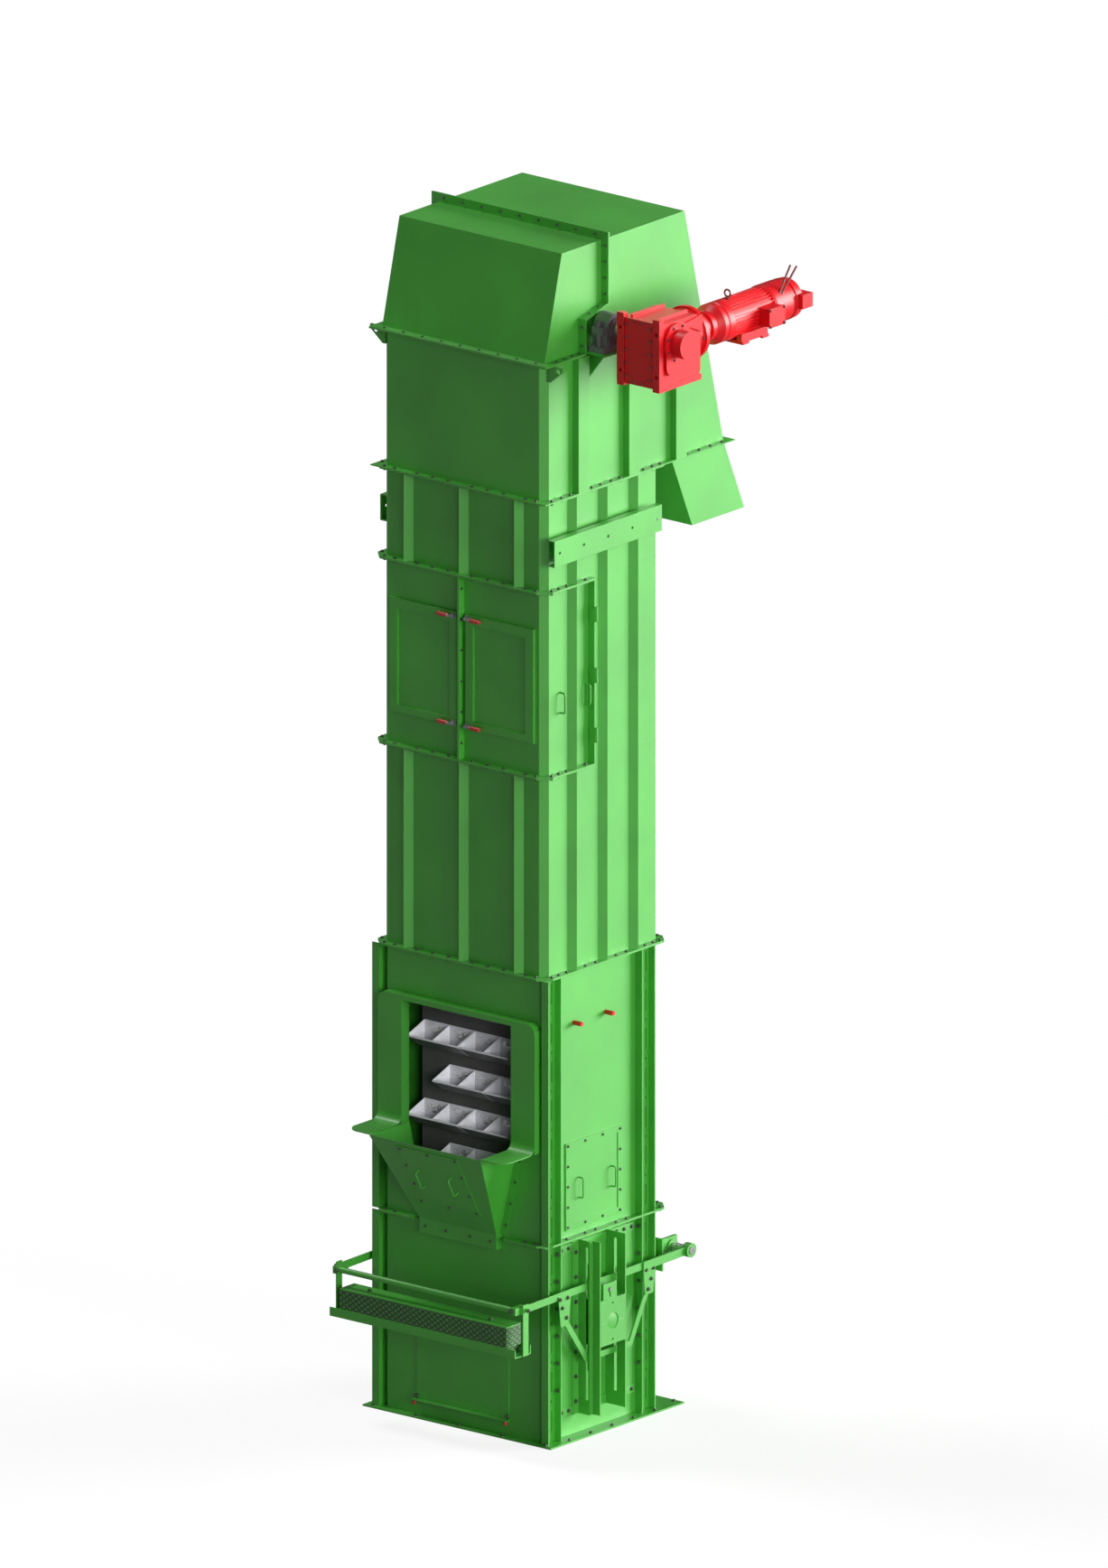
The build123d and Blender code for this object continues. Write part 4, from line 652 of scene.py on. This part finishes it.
# %% [markdown]
# ## 19. The casing behind the doors
# Behind the hinges the casing runs through without a flange, so that its ribs stay unbroken. To take the
# flange away there, the casing's outline is needed: four walls between chamfered corners, each with three
# pressed ridges. It is drawn a trace larger than the casing, so that the cut leaves the wall alone.
# %%
casing_x, casing_y, corner, ridge_size, outline_grow = 750, 650, 50, 50, 1.0006
front_pitch, side_pitch = 510, 345
def ridge_points(start, end, outward, pitch):
    points, way = [start], (end - start).normalized()
    for spot in (-pitch, 0, pitch):
        at = (start + end) / 2 + way * spot
        points += [at - way * ridge_size, at + outward * ridge_size, at + way * ridge_size]
    return points + [end]
def ribbed_outline():
    x, y, flat_x, flat_y = casing_x, casing_y, casing_x - corner, casing_y - corner
    walls = (((-flat_x, -y), (flat_x, -y), (0, -1), front_pitch),
             ((x, -flat_y), (x, flat_y), (1, 0), side_pitch),
             ((flat_x, y), (-flat_x, y), (0, 1), front_pitch),
             ((-x, flat_y), (-x, -flat_y), (-1, 0), side_pitch))
    points = []
    for start, end, outward, pitch in walls:
        points += ridge_points(Vector(start), Vector(end), Vector(outward), pitch)
    return [point * outline_grow for point in points]
print("corners of the casing's outline:", len(ribbed_outline()))
# %% [markdown]
# A block of that outline is taken out of a slab as thick as the joint, which leaves a ring behind the
# hinges that is as wide as the flange.
# %%
def ribbed_block(low, high):
    outline = ribbed_outline()
    deselect()
    bpy.ops.mesh.primitive_circle_add(vertices=len(outline), radius=1, fill_type="NGON", location=(0, 0, 0))
    made = bpy.context.object
    for vertex, point in zip(made.data.vertices, outline):
        vertex.co = (point.x, point.y, low)
    edit_all()
    bpy.ops.mesh.extrude_region_move(TRANSFORM_OT_translate={"value": (0, 0, high - low)})
    bpy.ops.object.mode_set(mode="OBJECT")
    return made_consistent(made)
def rear_ring(level):
    deselect()
    bpy.ops.mesh.primitive_cube_add(size=1, location=(0, 300, level), scale=(1700, 885, 18))
    ring = bpy.context.object
    apply_transform()
    return cut_away(ring, ribbed_block(level - 60, level + 60))
print("joints without a flange behind the hinges:", door_joints)
# %% [markdown]
# Copies of the three casing pieces lose that ring, and the copies stand for the CAD pieces. A copy is
# merged and scaled to millimetres first, and the CAD model's own normals are cleared from it.
# %%
def without_rear_flange(name, levels):
    copy = node_object(name).copy()
    copy.data = copy.data.copy()
    copy.name = name + "_run_through"
    bpy.context.scene.collection.objects.link(copy)
    pick(copy)
    edit_all()
    bpy.ops.mesh.remove_doubles(threshold=0.00001)
    bpy.ops.object.mode_set(mode="OBJECT")
    bpy.ops.mesh.customdata_custom_splitnormals_clear()
    bpy.ops.transform.resize(value=(1 / mm, 1 / mm, 1 / mm), center_override=(0, 0, 0))
    apply_transform()
    for level in levels:
        cut_away(copy, rear_ring(level))
    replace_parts(finish(copy, green), name)
    print(copy.name, "faces:", len(copy.data.polygons))
without_rear_flange("lower_shaft_casing", door_joints[:1])
without_rear_flange("upper_shaft_casing", door_joints[1:])
without_rear_flange("door_section_rear", door_joints)
# %% [markdown]
# ## 20. The floor and the background
# The camera sees white behind the plant. The floor is pale, takes the shadow of the plant, and throws back
# no more light than the room does. Both look different to the camera, to reflections and to other rays.
# %%
def by_ray(tree, camera, glossy, other):
    path = add_node(tree, "LightPath").outputs
    clear = maths(tree, "MAXIMUM", path["Is Camera Ray"], path["Is Transmission Ray"])
    shine = ramp(tree, path["Is Glossy Ray"], 0, 1, other, glossy)
    return add_node(tree, "Mix", {0: clear, 2: shine, 3: camera}, data_type="FLOAT").outputs[0]
floor_material, tree = new_material("pale_floor")
diffuse = add_node(tree, "BsdfDiffuse", {"Color": (0.25, 0.25, 0.25, 1.0)})
glow = add_node(tree, "Emission", {"Strength": by_ray(tree, 0.83, 0.05, 0.0)})
both = add_node(tree, "AddShader", {0: diffuse.outputs[0], 1: glow.outputs[0]})
add_node(tree, "OutputMaterial", {"Surface": both.outputs[0]})
deselect()
bpy.ops.mesh.primitive_plane_add(size=120, location=(0, 0, 0))
floor = bpy.context.object
floor.name = "floor"
floor.data.materials.append(floor_material)
world = bpy.data.worlds.new("studio")
world.use_nodes = True
tree = world.node_tree
tree.nodes.clear()
white = (1.0, 1.0, 1.0, 1.0)
room = add_node(tree, "Background", {"Color": white, "Strength": by_ray(tree, 1.0, 0.1, 0.06)})
add_node(tree, "OutputWorld", {"Surface": room.outputs[0]})
bpy.context.scene.world = world
print("floor and background ready")
